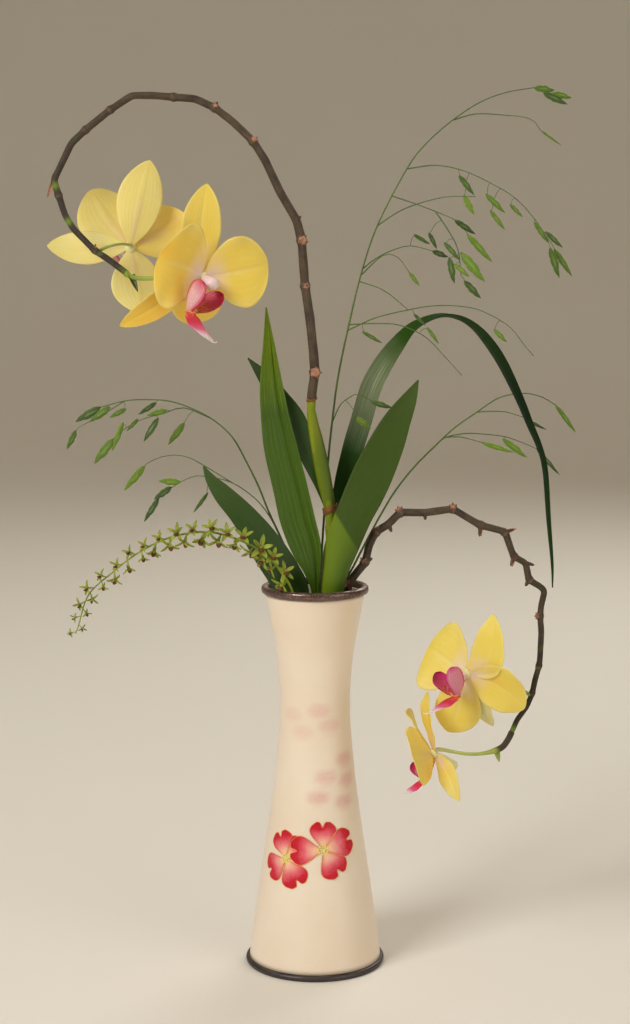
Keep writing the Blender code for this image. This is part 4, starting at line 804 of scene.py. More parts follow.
# %% Strap leaf
STRAP_BLADE = metres((
    (9, 11, 215, 3.5), (11, 11.5, 237, 4.2), (13, 13, 265, 5.6), (18, 14.5, 297, 6.8),
    (24, 15.5, 322, 7.4), (29.5, 16.5, 340.5, 7.6), (35.5, 17, 360.5, 7.8), (42.5, 16.5, 374, 7.8),
    (51, 15, 386, 7.8), (62, 12.5, 398, 7.6), (77, 10, 404.5, 7.4), (88, 6, 403, 7.2),
    (97.5, 2, 397, 7), (106, -1, 387.5, 6.8), (114, -4.5, 375, 6.2), (123.5, -8, 355.5, 5),
    (130, -10, 340, 4.2), (136, -12, 326, 3.4), (139.5, -13, 312, 3), (142, -14.5, 282, 2.4),
    (144.5, -16, 256, 1.4), (145, -17, 241, 0.4),
))
STRAP_TURNS = (
    (-20, 30), (-22, 30), (-25, 30), (-28, 30), (-30, 30), (-32, 30), (-35, 30), (-42, 30), (-54, 30),
    (-72, 30), (-86, 30), (-98, 30), (-108, 30), (-114, 30), (-116, 30), (-116, 30), (-116, 30),
    (-116, 30), (-116, 30), (-116, 30), (-116, 30), (-116, 30),
)


def channel(share, across):
    return 0.0007 * abs(across) * math.sin(math.pi * min(1.0, max(0.0, share)))


strap_head = below_rim((0.006, 0.010), PETIOLE[0], -20, PETIOLE[2])
strap = leaf("strap_leaf", strap_head, STRAP_BLADE, STRAP_TURNS, 16, channel)

strap_green, tree, shader = start_material("Strap leaf green", Specular_IOR_Level=0.12)
line, streak, _, along = grain_lines(tree, 16.0, 2.0)
# A whitish band on the bend is a painted sheen, and the bright streaks in it are painted glints: a painted
# highlight.
painted_sheen = times(tree, span(tree, along, 0.51, 0.56), span(tree, along, 0.64, 0.59))
painted_glints = times(tree, maths(tree, "POWER", streak, 3.0), painted_sheen)
# The near black stop at 0.80 is painted shade on the hanging underside.
colour = ramp(tree, along, (
    (0.0, tone(52, 80, 16)), (0.48, tone(40, 72, 22)), (0.62, tone(50, 86, 12)),
    (0.70, tone(30, 58, 8)), (0.80, tone(8, 30, 8)), (1.0, tone(30, 58, 14)),
))
colour = mixed(tree, upto(tree, line, 0.4), colour, tone(22, 46, 22))
colour = mixed(tree, times(tree, painted_sheen, 0.50), colour, tone(134, 142, 104))
colour = mixed(tree, times(tree, painted_glints, 0.6), colour, tone(218, 218, 196))
surface(tree, shader, colour, (streak, 0.5, 0.7), (streak, 0.00012, 0.5))
keep(coat(strap, strap_green), "dark_green", "leaf_strap")

# %% [markdown]
# The cane is the stem of the big orchid. A pale sheath clasps it at the rim, a papery brown collar
# marks its joint, and a second, slimmer sheath narrows to the point where the flower spike begins.
# Each sheath is a rolled stem, wider than it is deep.

# %% Cane and sheaths
CANE_AT_WAIST = (0.006, -0.003)
CANE_HIDDEN_RADIUS = 0.005
SHEATH_SPACING = 0.0015
SHEATH_SIDES = 28
CANE_SIDES = 20
CANE_CORE = metres((
    (9, -7.5, 215, 4.8), (9.5, -10, 237, 4.6), (10.5, -10, 262, 4), (9.8, -10, 280, 3.4),
    (9.1, -10, 288.5, 3.3), (6.5, -10, 301, 3.2), (0.5, -11, 326, 2.8), (-2.2, -11.5, 346, 2.6),
    (-2, -12, 356, 2.6),
))
LOWER_SHEATH = metres((
    (8.8, -8.5, 222, 5.6), (9.6, -10.5, 237, 6.6), (11.8, -11.2, 250, 7.4), (13.6, -11.8, 260.5, 8),
    (12.6, -11.2, 270, 6.2), (10.6, -10.4, 277, 4.6), (10, -10, 279.5, 3.8),
))
UPPER_SHEATH = metres((
    (9, -10, 289, 3.7), (8, -10, 294.5, 4), (5.8, -10.3, 305.5, 4.5), (3.3, -10.6, 318.5, 4.5),
    (1, -10.9, 331, 3.9), (-1.2, -11.3, 341, 3.3), (-2.2, -11.6, 348, 2.9),
))


def stem_foot(at_waist):
    """The hidden places of a stem, from the vase's floor to its waist."""
    return [Vector(place) for place in below_rim(at_waist)]


def sheathed(name, stations, depth):
    """A rolled stem whose section is flattened from front to back."""
    route = smooth(stations, SHEATH_SPACING)
    spine = [station.xyz for station in route]
    item = rolled(name, spine, [station[3] for station in route], SHEATH_SIDES)
    for vert in item.data.vertices:
        middle = min(spine, key=lambda point: abs(point.z - vert.co.z))
        vert.co.y = middle.y + (vert.co.y - middle.y) * depth
    return item


def sheath_finish(name, pale, deep, flush):
    sockets = {"Subsurface_Weight": 0.08, "Subsurface_Scale": 0.002, "Specular_IOR_Level": 0.35}
    material, tree, shader = start_material(name, **sockets)
    line, streak, _, along = grain_lines(tree, 26.0, 1.5)
    patches, _ = mottle(tree, 70.0, 1300.0)
    # Faces turned to the left take the lit tone and faces turned to the right the darker one: painted
    # light and shade.
    colour = mixed(tree, span(tree, faces_to(tree, 0), -0.7, 0.7), pale, deep)
    colour = mixed(tree, span(tree, along, 0.55, 1.0, 0.0, 0.8), colour, flush)
    colour = mixed(tree, upto(tree, line, 0.3), colour, deep)
    colour = mixed(tree, upto(tree, patches, 0.3), colour, deep)
    surface(tree, shader, colour, (streak, 0.36, 0.5), (streak, 0.0001, 0.5))
    return material


core_route = smooth(CANE_CORE, 0.003)
core_places = stem_foot(CANE_AT_WAIST) + [station.xyz for station in core_route]
core_radii = [CANE_HIDDEN_RADIUS] * len(HIDDEN_SHARES) + [station[3] for station in core_route]
cane_core = rolled("cane_core", core_places, core_radii, CANE_SIDES)
lower_sheath = sheathed("lower_sheath", LOWER_SHEATH, 0.72)
upper_sheath = sheathed("upper_sheath", UPPER_SHEATH, 0.8)
# The first two tones of each skin are its painted lit and painted shaded greens; the second also darkens
# grain lines and patches.
for item, name, *tones in (
    (cane_core, "Cane skin", tone(132, 146, 12), tone(96, 114, 8), tone(140, 150, 14)),
    (lower_sheath, "Lower sheath skin", tone(118, 142, 20), tone(78, 108, 10), tone(130, 142, 18)),
    (upper_sheath, "Upper sheath skin", tone(112, 128, 8), tone(74, 94, 6), tone(146, 150, 16)),
):
    keep(coat(item, sheath_finish(name, *tones)), "cane_green", "cane")

# %% [markdown]
# The collar is what is left of an old leaf: a torn strip of brown paper wrapped round the cane. It is a
# sheet bent into a tilted ring, with a ragged upper edge, and a smaller one rings the top of the cane.

# %% Papery collars
COLLAR_THICKNESS = 0.0003


def torn_ring(name, middle, radius, height, tilt, seed):
    """A strip round a stem, tilted to one side, its upper edge torn."""
    draw = random.Random(seed)
    tears = [draw.uniform(-1.0, 1.0) for _ in range(41)]

    def place(across, along):
        angle = math.pi * across * 0.985
        tear = tears[round((across + 1.0) * 20)]
        rise = height * (along * (1.0 + tear * 0.28) - 0.5) + tilt * radius * math.cos(angle)
        flare = radius * (1.0 + 0.10 * along + 0.05 * tear * along)
        return Vector(middle) + Vector((flare * math.cos(angle), -flare * 0.95 * math.sin(angle), rise))

    return thicken(sheet(name, 40, 5, place), COLLAR_THICKNESS)


collars = [
    torn_ring("collar", (0.0091, -0.010, 0.2888), 0.0040, 0.0028, 0.42, 3),
    torn_ring("inner_collar", (0.0090, -0.010, 0.2872), 0.0038, 0.0016, 0.42, 8),
    torn_ring("top_collar", (-0.0020, -0.0120, 0.3555), 0.0030, 0.0014, 0.25, 4),
]
dry_skin, tree, shader = start_material("Dry skin")
_, streak, _, _ = grain_lines(tree, 14.0, 3.0)
patches, grain = mottle(tree, 240.0, 1500.0)
colour = mixed(tree, patches, tone(132, 76, 26), tone(74, 36, 14))
colour = mixed(tree, span(tree, streak, 0.3, 1.0, 0.0, 0.5), colour, tone(196, 140, 50))
surface(tree, shader, colour, (grain, 0.6, 0.8), (streak, 0.0002, 0.7))
keep(coat(joined("cane_collars", collars), dry_skin), "spike_brown", "cane")

# %% [markdown]
# Two blades grow from the cane: a broad one to the right, dull olive green with a fine grain, whose base
# clasps the lower sheath, and a dark one to the left, half hidden by the pleated leaf.

# %% Broad and dark blades
BROAD_BLADE = metres((
    (9.5, -15.3, 222, 10.7), (10.5, -17.9, 240, 11), (12.5, -18.6, 252, 11.5), (15, -19, 262, 11.9),
    (19, -19.2, 274, 11.3), (24, -19, 286.5, 11.2), (29.8, -18.5, 299, 12), (36, -18.8, 313, 12),
    (43.5, -20, 330, 10.6), (49.5, -21, 343.5, 8.3), (56.5, -21.5, 356.5, 4.8), (62, -22, 368, 0.4),
))
DARK_BLADE = metres((
    (6.4, -10.2, 292.5, 2.2), (3, -9.8, 303.5, 3.8), (-1.2, -8.6, 314.5, 5.2), (-6.6, -6, 328, 6.6),
    (-13, -3.5, 343, 7), (-22, -1.5, 356, 6), (-31, 0, 368.5, 4.2), (-41, 2, 380, 0.4),
))
BROAD_TURNS = (
    (0, -180), (0, -170), (0, -150), (0, -118), (0, -64), (0, -24), (0, -6), (0, 12), (0, 20), (0, 20),
    (0, 24), (0, 40),
)
SHEATH_EDGE = metres(((13.4, 285.3), (24.9, 266.3)))
SHEATH_BLEND = 0.0014
GROWN_SPACING = 0.002
DARK_TURNS = ((10, 110), (10, 90), (8, 70), (6, 50), (4, 34), (0, 26), (0, 26), (0, 40))

broad = leaf("broad_blade", [], BROAD_BLADE, BROAD_TURNS, 26, spacing=GROWN_SPACING)
(left, top), (right, bottom) = SHEATH_EDGE
slope = (top - bottom) / (right - left)
olive = leaf_finish("Olive leaf green", tone(60, 84, 0), tone(66, 90, 2), tone(72, 98, 8),
                    tone(34, 56, 0), 34.0, 0.46, 0.00008, 0.3, Specular_IOR_Level=0.35)
tree = olive.node_tree
shader = tree.nodes["Principled BSDF"]
# Faces turned to the left are painted lighter and faces turned to the right darker: painted light and
# shade on the clasping sheath.
lit_and_shaded_sheath_green = mixed(tree, span(tree, faces_to(tree, 0), -0.8, 0.6), tone(112, 134, 14), tone(70, 100, 8))
x, _, z = parts(tree, position(tree))
level = maths(tree, "ADD", z, times(tree, x, slope))
edge = top + slope * left
clasping = span(tree, level, edge + SHEATH_BLEND, edge - SHEATH_BLEND)
blade_green = shader.inputs["Base Color"].links[0].from_socket
tree.links.new(mixed(tree, clasping, blade_green, lit_and_shaded_sheath_green), shader.inputs["Base Color"])
keep(coat(broad, olive), "cane_green", "cane")
dark = leaf("dark_blade", [], DARK_BLADE, DARK_TURNS, 18, spacing=GROWN_SPACING)
keep(coat(dark, dark_leaf), "cane_green", "cane")

# %% [markdown]
# The flower spikes are old and woody: dark brown, slightly crooked, with a swollen joint every few
# centimetres. Each joint carries a pale scar ring where a scale fell off, and some a dry bud. The stem
# is one rolled grid with a row every millimetre, so that joints and knobs are real shape.

# %% Flower spikes
SPIKE_LEFT = metres((
    (-2, -12, 356.1), (-1.8, -12, 360), (0, -12, 372), (-1, -11, 385), (-3, -10, 404), (-6, -9, 424),
    (-8, -8, 451), (-11, -7, 463), (-21, -6, 480), (-30, -4, 499), (-37, -3, 510), (-49, -1, 521.5),
    (-60, 0, 530), (-72, 1, 535.5), (-85, 2, 536.5), (-97, 2, 537.5), (-110, 2, 537.5), (-123, 1, 529),
    (-138, 0, 517), (-146.5, -1, 509), (-154, -4, 493), (-157, -5, 487), (-154, -6, 478),
    (-150, -8, 466), (-145, -10, 458), (-132, -13, 445), (-124, -15, 440), (-112.5, -17, 431.5),
))
SPIKE_LEFT_NODES = (2, 5, 6, 10, 12, 14, 17, 18, 22, 25)
SPIKE_RIGHT = metres((
    (17.5, -1, 205), (18.5, -3, 222), (20.5, -4, 241), (25, -5, 247.5), (31, -6, 255), (33, -7, 265),
    (37, -8, 274), (45, -9, 279), (52, -10, 286.5), (67, -12, 286.5), (84, -13, 289), (94, -14, 283),
    (101, -14, 279), (109, -14, 277), (116, -14, 275), (119, -14, 266), (121.5, -13, 259.5),
    (129, -12, 255.5), (131, -12, 245), (138.5, -11, 240.5), (141, -11, 238), (139, -10, 228.5),
    (138.5, -10, 222), (139.5, -9, 212), (139, -8, 195), (138.5, -8, 190.5), (136, -8, 181),
    (134.5, -9, 173.5), (131, -10, 165), (125, -12, 157.5), (121.5, -14, 150),
))
SPIKE_RIGHT_NODES = (4, 6, 8, 10, 12, 14, 16, 18, 22, 25, 27)
LEFT_GREEN = metres(((-147.5, -9, 462), (-156, -5.5, 483.5)))
RIGHT_GREEN = metres(((122.2, -13.5, 151.5),))
LEFT_STUBS = metres((
    ((-11, -7, 463), (-8.5, -9.8, 465.5), 1.1), ((-60, 0, 530), (-58.5, -2, 533.5), 1),
))
RIGHT_STUBS = metres((
    ((67, -12, 286.5), (67.2, -13.5, 282.2), 1.2), ((45, -9, 279), (46.8, -11, 274.5), 1.3),
    ((31, -6, 255), (35.2, -8.5, 258), 1.3), ((101, -14, 279), (100.2, -16, 272.4), 1.3),
    ((116, -14, 275), (121.5, -14.5, 276.8), 1.1), ((121.5, -13, 259.5), (119.6, -14.8, 254), 1.2),
    ((129, -12, 255.5), (134.2, -12.5, 254.2), 1.1), ((131, -12, 245), (128.8, -14.2, 241.5), 1.3),
))
NODE_GROWTH = 0.26
NODE_LENGTH = 0.0016
KNOB_COUNT = 90
SPIKE_SIDES = 16
STUB_SIDES = 10
SCAR_OFFSET = 0.0006
SCAR_WIDTH = 0.0004
SPOT_REACH = 0.0022


def lengths_along(route):
    total = 0.0
    lengths = [0.0]
    for start, end in zip(route, route[1:]):
        total += (end - start).length
        lengths.append(total)
    return lengths


def nearest(route, target):
    return min(range(len(route)), key=lambda index: (route[index] - Vector(target)).length)


def crooked(places, spacing):
    """A route that runs straight from joint to joint, with short bends at the joints."""
    knots = [Vector(place) for place in places]
    route = []
    for start, end in zip(knots, knots[1:]):
        count = max(1, round((end - start).length / spacing))
        route += [start.lerp(end, step / count) for step in range(count)]
    route.append(knots[-1])
    for _ in range(6):
        inner = range(1, len(route) - 1)
        middles = [(route[i - 1] + 2.0 * route[i] + route[i + 1]) / 4.0 for i in inner]
        route = [route[0]] + middles + [route[-1]]
    return route


def pale_end(_across, along):
    return 0.8 * along ** 4


def stub(root, point, size):
    """What is left of an old branch, with a pale end."""
    root = Vector(root)
    places = [root.lerp(Vector(point), share) for share in (0.0, 0.35, 0.7, 0.9, 1.0)]
    radii = [size * grow for grow in (1.3, 1.1, 0.85, 0.6, 0.2)]
    return rolled("stub", places, radii, STUB_SIDES, scar=pale_end, green=0.0)


def woody_stem(name, places, nodes, thick, thin, seed, green_from, green_spots, stubs, head=()):
    """A crooked woody stem with stubs of old branches, its scars and green spots painted on."""
    draw = random.Random(seed)
    route = list(head) + crooked(places, 0.001)
    lengths = lengths_along(route)
    start = lengths[len(head)]
    rings_at = [lengths[nearest(route, places[node])] for node in nodes]
    knobs = []
    for _ in range(KNOB_COUNT):
        knob = draw.uniform(0.0, lengths[-1])
        knobs.append((knob, draw.uniform(-0.05, 0.06), draw.uniform(0.002, 0.006)))
    radii = []
    for place in lengths:
        share = max(0.0, place - start) / (lengths[-1] - start)
        swollen = max(math.exp(-((place - ring) / NODE_LENGTH) ** 2) for ring in rings_at)
        rough = sum(size * math.exp(-((place - knob) / wide) ** 2) for knob, size, wide in knobs)
        radii.append((thick + (thin - thick) * share) * (1.0 + NODE_GROWTH * swollen + 0.6 * rough))

    def row_at(along):
        return min(len(lengths) - 1, max(0, round(along * (len(route) + 1)) - 1))

    def scar(_across, along):
        place = lengths[row_at(along)] - SCAR_OFFSET
        return max(math.exp(-((place - ring) / SCAR_WIDTH) ** 2) for ring in rings_at)

    def green(_across, along):
        row = row_at(along)
        away = min((route[row] - Vector(spot)).length for spot in green_spots)
        patch = math.exp(-(away / SPOT_REACH) ** 2)
        return min(1.0, max(patch, (lengths[row] / lengths[-1] - green_from) * 60.0, 0.0))

    stem = rolled(name, route, radii, SPIKE_SIDES, scar=scar, green=green)
    return joined(name, [stem] + [stub(*form) for form in stubs])


bark, tree, shader = start_material("Spike bark")
_, streak, _, along = grain_lines(tree, 5.0, 3.0)
patches, grain = mottle(tree, 130.0, 1600.0)
specks = speckles(tree, 420.0)
colour = mixed(tree, patches, tone(96, 76, 52), tone(54, 40, 26))
colour = mixed(tree, span(tree, along, 0.66, 0.84, 0.0, 0.75), colour, tone(44, 34, 24))
mossy = times(tree, span(tree, patches, 0.72, 0.95), span(tree, along, 0.6, 0.85, 0.0, 0.7))
colour = mixed(tree, mossy, colour, tone(98, 106, 36))
colour = mixed(tree, span(tree, streak, 0.2, 0.9, 0.0, 0.5), colour, tone(36, 28, 20))
colour = mixed(tree, span(tree, specks, 0.16, 0.08, 0.0, 0.4), colour, tone(150, 136, 110))
colour = mixed(tree, attribute(tree, "green"), colour, tone(112, 136, 36))
scarred = times(tree, attribute(tree, "scar"), span(tree, patches, 0.2, 0.8, 0.1, 0.8))
colour = mixed(tree, scarred, colour, tone(176, 130, 100))
surface(tree, shader, colour, (grain, 0.5, 0.72), (maths(tree, "ADD", grain, streak), 0.0003, 0.6))

left_stem = woody_stem("left_spike", SPIKE_LEFT, SPIKE_LEFT_NODES, 0.0029, 0.0018, 21, 0.988,
                       LEFT_GREEN, LEFT_STUBS)
right_stem = woody_stem("right_spike", SPIKE_RIGHT, SPIKE_RIGHT_NODES, 0.0027, 0.0016, 22, 0.997,
                        RIGHT_GREEN, RIGHT_STUBS, stem_foot((0.0155, 0.001)))
keep(coat(left_stem, bark), "spike_brown", "spike_left")
keep(coat(right_stem, bark), "spike_brown", "spike_right")

# %% [markdown]
# Buds and scales sit at the joints. A bud is a small sphere drawn out and pushed into the bark, inside
# a broken ring; a scale is a pointed sheet that clasps the stem and dries to pink and brown.

# %% Buds and scales
SCALE_THICKNESS = 0.00025
SCALE_CURL = 1.3
BUD_SCALE_CURL = 0.9
BUD_LIFT = 0.0024
bpy.ops.mesh.primitive_uv_sphere_add(segments=20, ring_count=14, radius=1.0)
bud_master = bpy.context.object
for vert in bud_master.data.vertices:
    swirl = 1.0 + 0.10 * math.cos(5.0 * math.atan2(vert.co.y, vert.co.x)) * (1.0 - vert.co.z ** 2)
    dent = 0.30 * math.exp(-((1.0 - vert.co.z) / 0.12) ** 2)
    vert.co = Vector((vert.co.x * swirl, vert.co.y * swirl, vert.co.z * 0.8 - dent))


def aimed(spot, aim, size, spin=0.0):
    """The matrix that stands a master on a spot, its z axis along the aim."""
    turn = Vector(aim).to_track_quat("Z", "Y").to_matrix().to_4x4()
    return Matrix.Translation(spot) @ turn @ Matrix.Rotation(spin, 4, "Z") @ Matrix.Diagonal((*size, 1.0))


def scale_leaf(root, point, half, curl, seed):
    """A pointed dry scale from its root to its point, rolled about its length."""
    root = Vector(root)
    point = Vector(point)
    draw = random.Random(seed)
    axis = point - root
    side = axis.cross(FRONT + Vector((draw.uniform(-0.4, 0.4), 0.0, 0.0))).normalized()
    front = side.cross(axis).normalized()

    def place(across, along):
        width = half * (1.0 - along) ** 0.75 * (1.0 + 0.35 * along)
        angle = across * curl
        sway = side * math.sin(angle) * width + front * (1.0 - math.cos(angle)) * width
        return root + axis * along + sway + front * 0.18 * axis.length * along ** 2

    return thicken(sheet("scale", 8, 8, place), SCALE_THICKNESS)


BUDS = (
    (SPIKE_LEFT[2], (0.1, -1.0, 0.05), 0.0031), (SPIKE_LEFT[5], (0.3, -0.9, 0.0), 0.0019),
    (SPIKE_LEFT[6], (0.3, -0.9, 0.1), 0.0027), (SPIKE_LEFT[10], (0.3, -0.8, 0.5), 0.0018),
    (SPIKE_LEFT[12], (0.1, -0.8, 0.6), 0.0015), (SPIKE_RIGHT[4], (-0.6, -0.5, 0.7), 0.0020),
    (SPIKE_RIGHT[8], (-0.3, -0.5, 0.85), 0.0018), (SPIKE_RIGHT[10], (0.0, -0.6, 0.8), 0.0018),
    (SPIKE_RIGHT[22], (-0.9, -0.4, 0.2), 0.0015),
)
buds = []
for number, (spot, aim, size) in enumerate(BUDS):
    aim = Vector(aim).normalized()
    middle = Vector(spot) + aim * BUD_LIFT
    buds.append(copied(bud_master, aimed(middle, aim, (size, size, size * 0.8))))
    for step in range(5):
        turn = Matrix.Rotation(step * math.tau / 5 + number, 3, aim)
        out = turn @ aim.orthogonal().normalized()
        root = middle + out * size * 0.95 - aim * size * 0.5
        point = root + out * size * 0.35 + aim * size * 1.1
        buds.append(scale_leaf(root, point, size * 0.5, BUD_SCALE_CURL, number + step))
bpy.data.objects.remove(bud_master, do_unlink=True)

SCALES = (
    (SPIKE_LEFT[21], (-0.161, -0.009, 0.4762), 0.0016),
    (SPIKE_LEFT[25], (-0.1305, -0.016, 0.4495), 0.0012),
    ((0.0185, -0.0055, 0.24), (0.0165, -0.0085, 0.2475), 0.0022),
    ((0.02, -0.006, 0.239), (0.0212, -0.009, 0.2455), 0.002),
    (SPIKE_RIGHT[12], (0.1015, -0.0155, 0.2725), 0.0014),
    (SPIKE_RIGHT[14], (0.1228, -0.014, 0.2772), 0.0015),
    (SPIKE_RIGHT[16], (0.12, -0.015, 0.2535), 0.0014), (SPIKE_RIGHT[6], (0.0395, -0.011, 0.279), 0.0013),
)
scales = [scale_leaf(*form, SCALE_CURL, number) for number, form in enumerate(SCALES)]
pink_scale, tree, shader = start_material("Dry bud pink")
patches, grain = mottle(tree, 420.0, 2200.0)
colour = mixed(tree, span(tree, patches, 0.2, 0.8), tone(190, 124, 88), tone(96, 54, 32))
colour = mixed(tree, upto(tree, grain, 0.4), colour, tone(226, 186, 156))
surface(tree, shader, colour, (grain, 0.55, 0.75), (grain, 0.0003, 0.6))
keep(coat(joined("spike_buds", buds + scales), pink_scale), "spike_brown", "spike_left", "spike_right")

# %% [markdown]
# The hanging string on the left carries some thirty star flowers in two rows. One flower is modelled:
# five pointed leaves round a brown lip, on a short foot. The string then takes copies of it, larger and
# more open near the vase, each turned by chance but always the same on every run.

# %% Hanging string of star flowers
RACEME = metres((
    (-12.5, -20.5, 228), (-13.5, -22, 238), (-18, -23, 248), (-29, -25, 262), (-45, -27, 271.5),
    (-65, -29, 277), (-87, -31, 274), (-106, -33, 265), (-122, -35, 253), (-136, -37, 240),
    (-142, -38, 222), (-144, -38, 216.5),
))
RACEME_SPACING = 0.002
STRING_FOOT = 0.0011
STRING_RADIUS = 0.00085
STAR_COUNT = 34
STARS_START = 0.020
STAR_RADIUS = 0.0076
THIN_PLANT = {"Subsurface_Weight": 0.1, "Subsurface_Scale": 0.002}
STAR_LEAF_THICKNESS = 0.05
STAR_LIP_THICKNESS = 0.06


def star_leaf(turn, length, half, lift):
    spoke = Vector((math.cos(turn), math.sin(turn), 0.0))
    side = Vector((-math.sin(turn), math.cos(turn), 0.0))

    def place(across, along):
        width = half * math.sin(math.pi * (0.12 + 0.88 * along)) ** 0.8
        rise = lift * along - 0.10 * along ** 3 + 0.06 * across ** 2
        return spoke * (0.08 + along * length) + side * width * across + Vector((0.0, 0.0, rise))

    def browned(_across, along):
        return 0.25 * (1.0 - along) ** 3

    return thicken(sheet("star_leaf", 4, 6, place, lip=browned), STAR_LEAF_THICKNESS)


def star_lip():
    def place(across, along):
        width = 0.24 * math.sin(math.pi * (0.15 + 0.75 * along))
        rise = 0.16 + 0.22 * math.sin(2.6 * along) - 0.12 * across ** 2
        return Vector((width * across, -0.10 - 0.34 * along, rise))

    return thicken(sheet("star_lip", 4, 5, place, lip=1.0), STAR_LIP_THICKNESS)


STAR_LEAVES = (
    (90, 1.1, 0.19, 0.05), (158, 0.8, 0.17, 0.5), (235, 1.05, 0.2, 0.1), (306, 0.95, 0.19, 0.24),
    (22, 0.8, 0.17, 0.5),
)
leaves = [star_leaf(math.radians(turn), *form) for turn, *form in STAR_LEAVES]
core_route = [Vector((0.0, 0.0, z)) for z in (-0.60, -0.42, -0.22, -0.02, 0.12, 0.22)]
core_radii = (0.06, 0.08, 0.12, 0.18, 0.16, 0.09)
core = rolled("star_core", core_route, core_radii, 8, lip=lambda _across, along: 0.5 * along ** 4)
star = joined("star", leaves + [star_lip(), core])

raceme_route = path(RACEME, RACEME_SPACING)
raceme_lengths = lengths_along(raceme_route)
stalk_radii = [STRING_FOOT] * len(HIDDEN_SHARES)
stalk_radii += [STRING_RADIUS - 0.0005 * place / raceme_lengths[-1] for place in raceme_lengths]
stalk = rolled("string_stalk", stem_foot((-0.009, -0.0135)) + raceme_route, stalk_radii, 10, lip=0.0)

rng = random.Random(7)
stars = []
for number in range(STAR_COUNT):
    share = number / (STAR_COUNT - 1)
    place = STARS_START + (raceme_lengths[-1] - 0.001 - STARS_START) * share
    index = min(range(len(raceme_lengths)), key=lambda spot: abs(raceme_lengths[spot] - place))
    along = tangents(raceme_route)[index]
    outward = along.cross(FRONT).normalized() * (1.0 if number % 2 else -1.0)
    lean = FRONT * rng.uniform(0.5, 1.5) + along * rng.uniform(0.1, 0.7) - UP * 0.3
    aim = (outward + lean).normalized()
    size = STAR_RADIUS * (1.0 - 0.42 * share ** 2) * rng.uniform(0.85, 1.12)
    closed = 1.0 + 0.5 * share
    spot = raceme_route[index] + aim * size * 0.56 * closed
    shape = (size / closed, size / closed, size * closed)
    stars.append(copied(star, aimed(spot, aim, shape, rng.uniform(-0.7, 0.7))))
bpy.data.objects.remove(star, do_unlink=True)

star_green, tree, shader = start_material("Star flower green", **THIN_PLANT)
_, streak, _, _ = grain_lines(tree, 3.0, 1.0)
patches, grain = mottle(tree, 130.0, 1600.0)
colour = mixed(tree, patches, tone(160, 176, 36), tone(78, 110, 14))
colour = mixed(tree, upto(tree, streak, 0.35), colour, tone(206, 208, 84))
colour = mixed(tree, attribute(tree, "lip"), colour, tone(104, 48, 10))
surface(tree, shader, colour, (grain, 0.45, 0.62), (streak, 0.0001, 0.5))
keep(coat(joined("star_string", [stalk] + stars), star_green), "raceme_green", "raceme")

# %% [markdown]
# The grasses are wild oats: thin arching stems with flat ears hanging from hair-fine stalks. One ear is
# modelled from six overlapping scales, pointed at both ends, in an open and a closed form, and every
# ear on the stems is a copy.

# %% Grass ears and stems
GRASS_RIGHT_MAIN = metres((
    (2, 7.5, 215), (3, 6, 240), (5.5, 6, 280), (8, 6, 315), (10.5, 6.5, 340), (14, 7, 367),
    (20, 8, 396.5), (28, 10, 430), (38, 12, 460), (56, 15, 494.5), (68, 17, 510), (84, 19, 524),
    (101, 21, 535), (117, 23, 541), (134, 25, 544),
))
GRASS_RIGHT_BRANCHES = metres((
    ((84, 19, 524), (98, 24, 528), (114, 30, 528), (133, 36, 526), (140, 38, 519)),
    ((56, 15, 494.5), (74, 22, 497), (92, 30, 494), (109, 38, 487), (125, 44, 478), (138, 48, 465),
     (146, 49, 453)),
    ((38, 12, 460), (50, 4, 468), (62, -3, 473), (79, -8, 477), (96, -12, 477)),
    ((47, 13.7, 478), (60, 17, 474), (74, 20, 469), (84, 23, 465)),
    ((28.5, 10, 432), (37, 16, 440), (47, 22, 445), (59, 28, 448), (73, 32, 445)),
    ((74, 20, 469), (81, 12, 458), (87, 7, 446), (89, 5, 430)),
    ((28, 10, 431), (41, 2, 442), (50, -3, 441), (57, -6, 432)),
    ((27.5, 10, 428), (42, 4, 421), (57, -2, 409)),
    ((20, 8, 396.5), (36, 3, 404), (55, -1, 409), (74, -4, 412), (93, -6, 411), (105, -8, 407),
     (118, -10, 399), (126, -11, 389), (132, -12, 382)),
    ((21, 8, 400), (37, 2, 401), (52, -2, 400), (67, -5, 393), (80, -7, 380), (89, -8, 370)),
    ((10.5, 6.5, 340), (16, 1, 352), (24, -3, 358)),
))
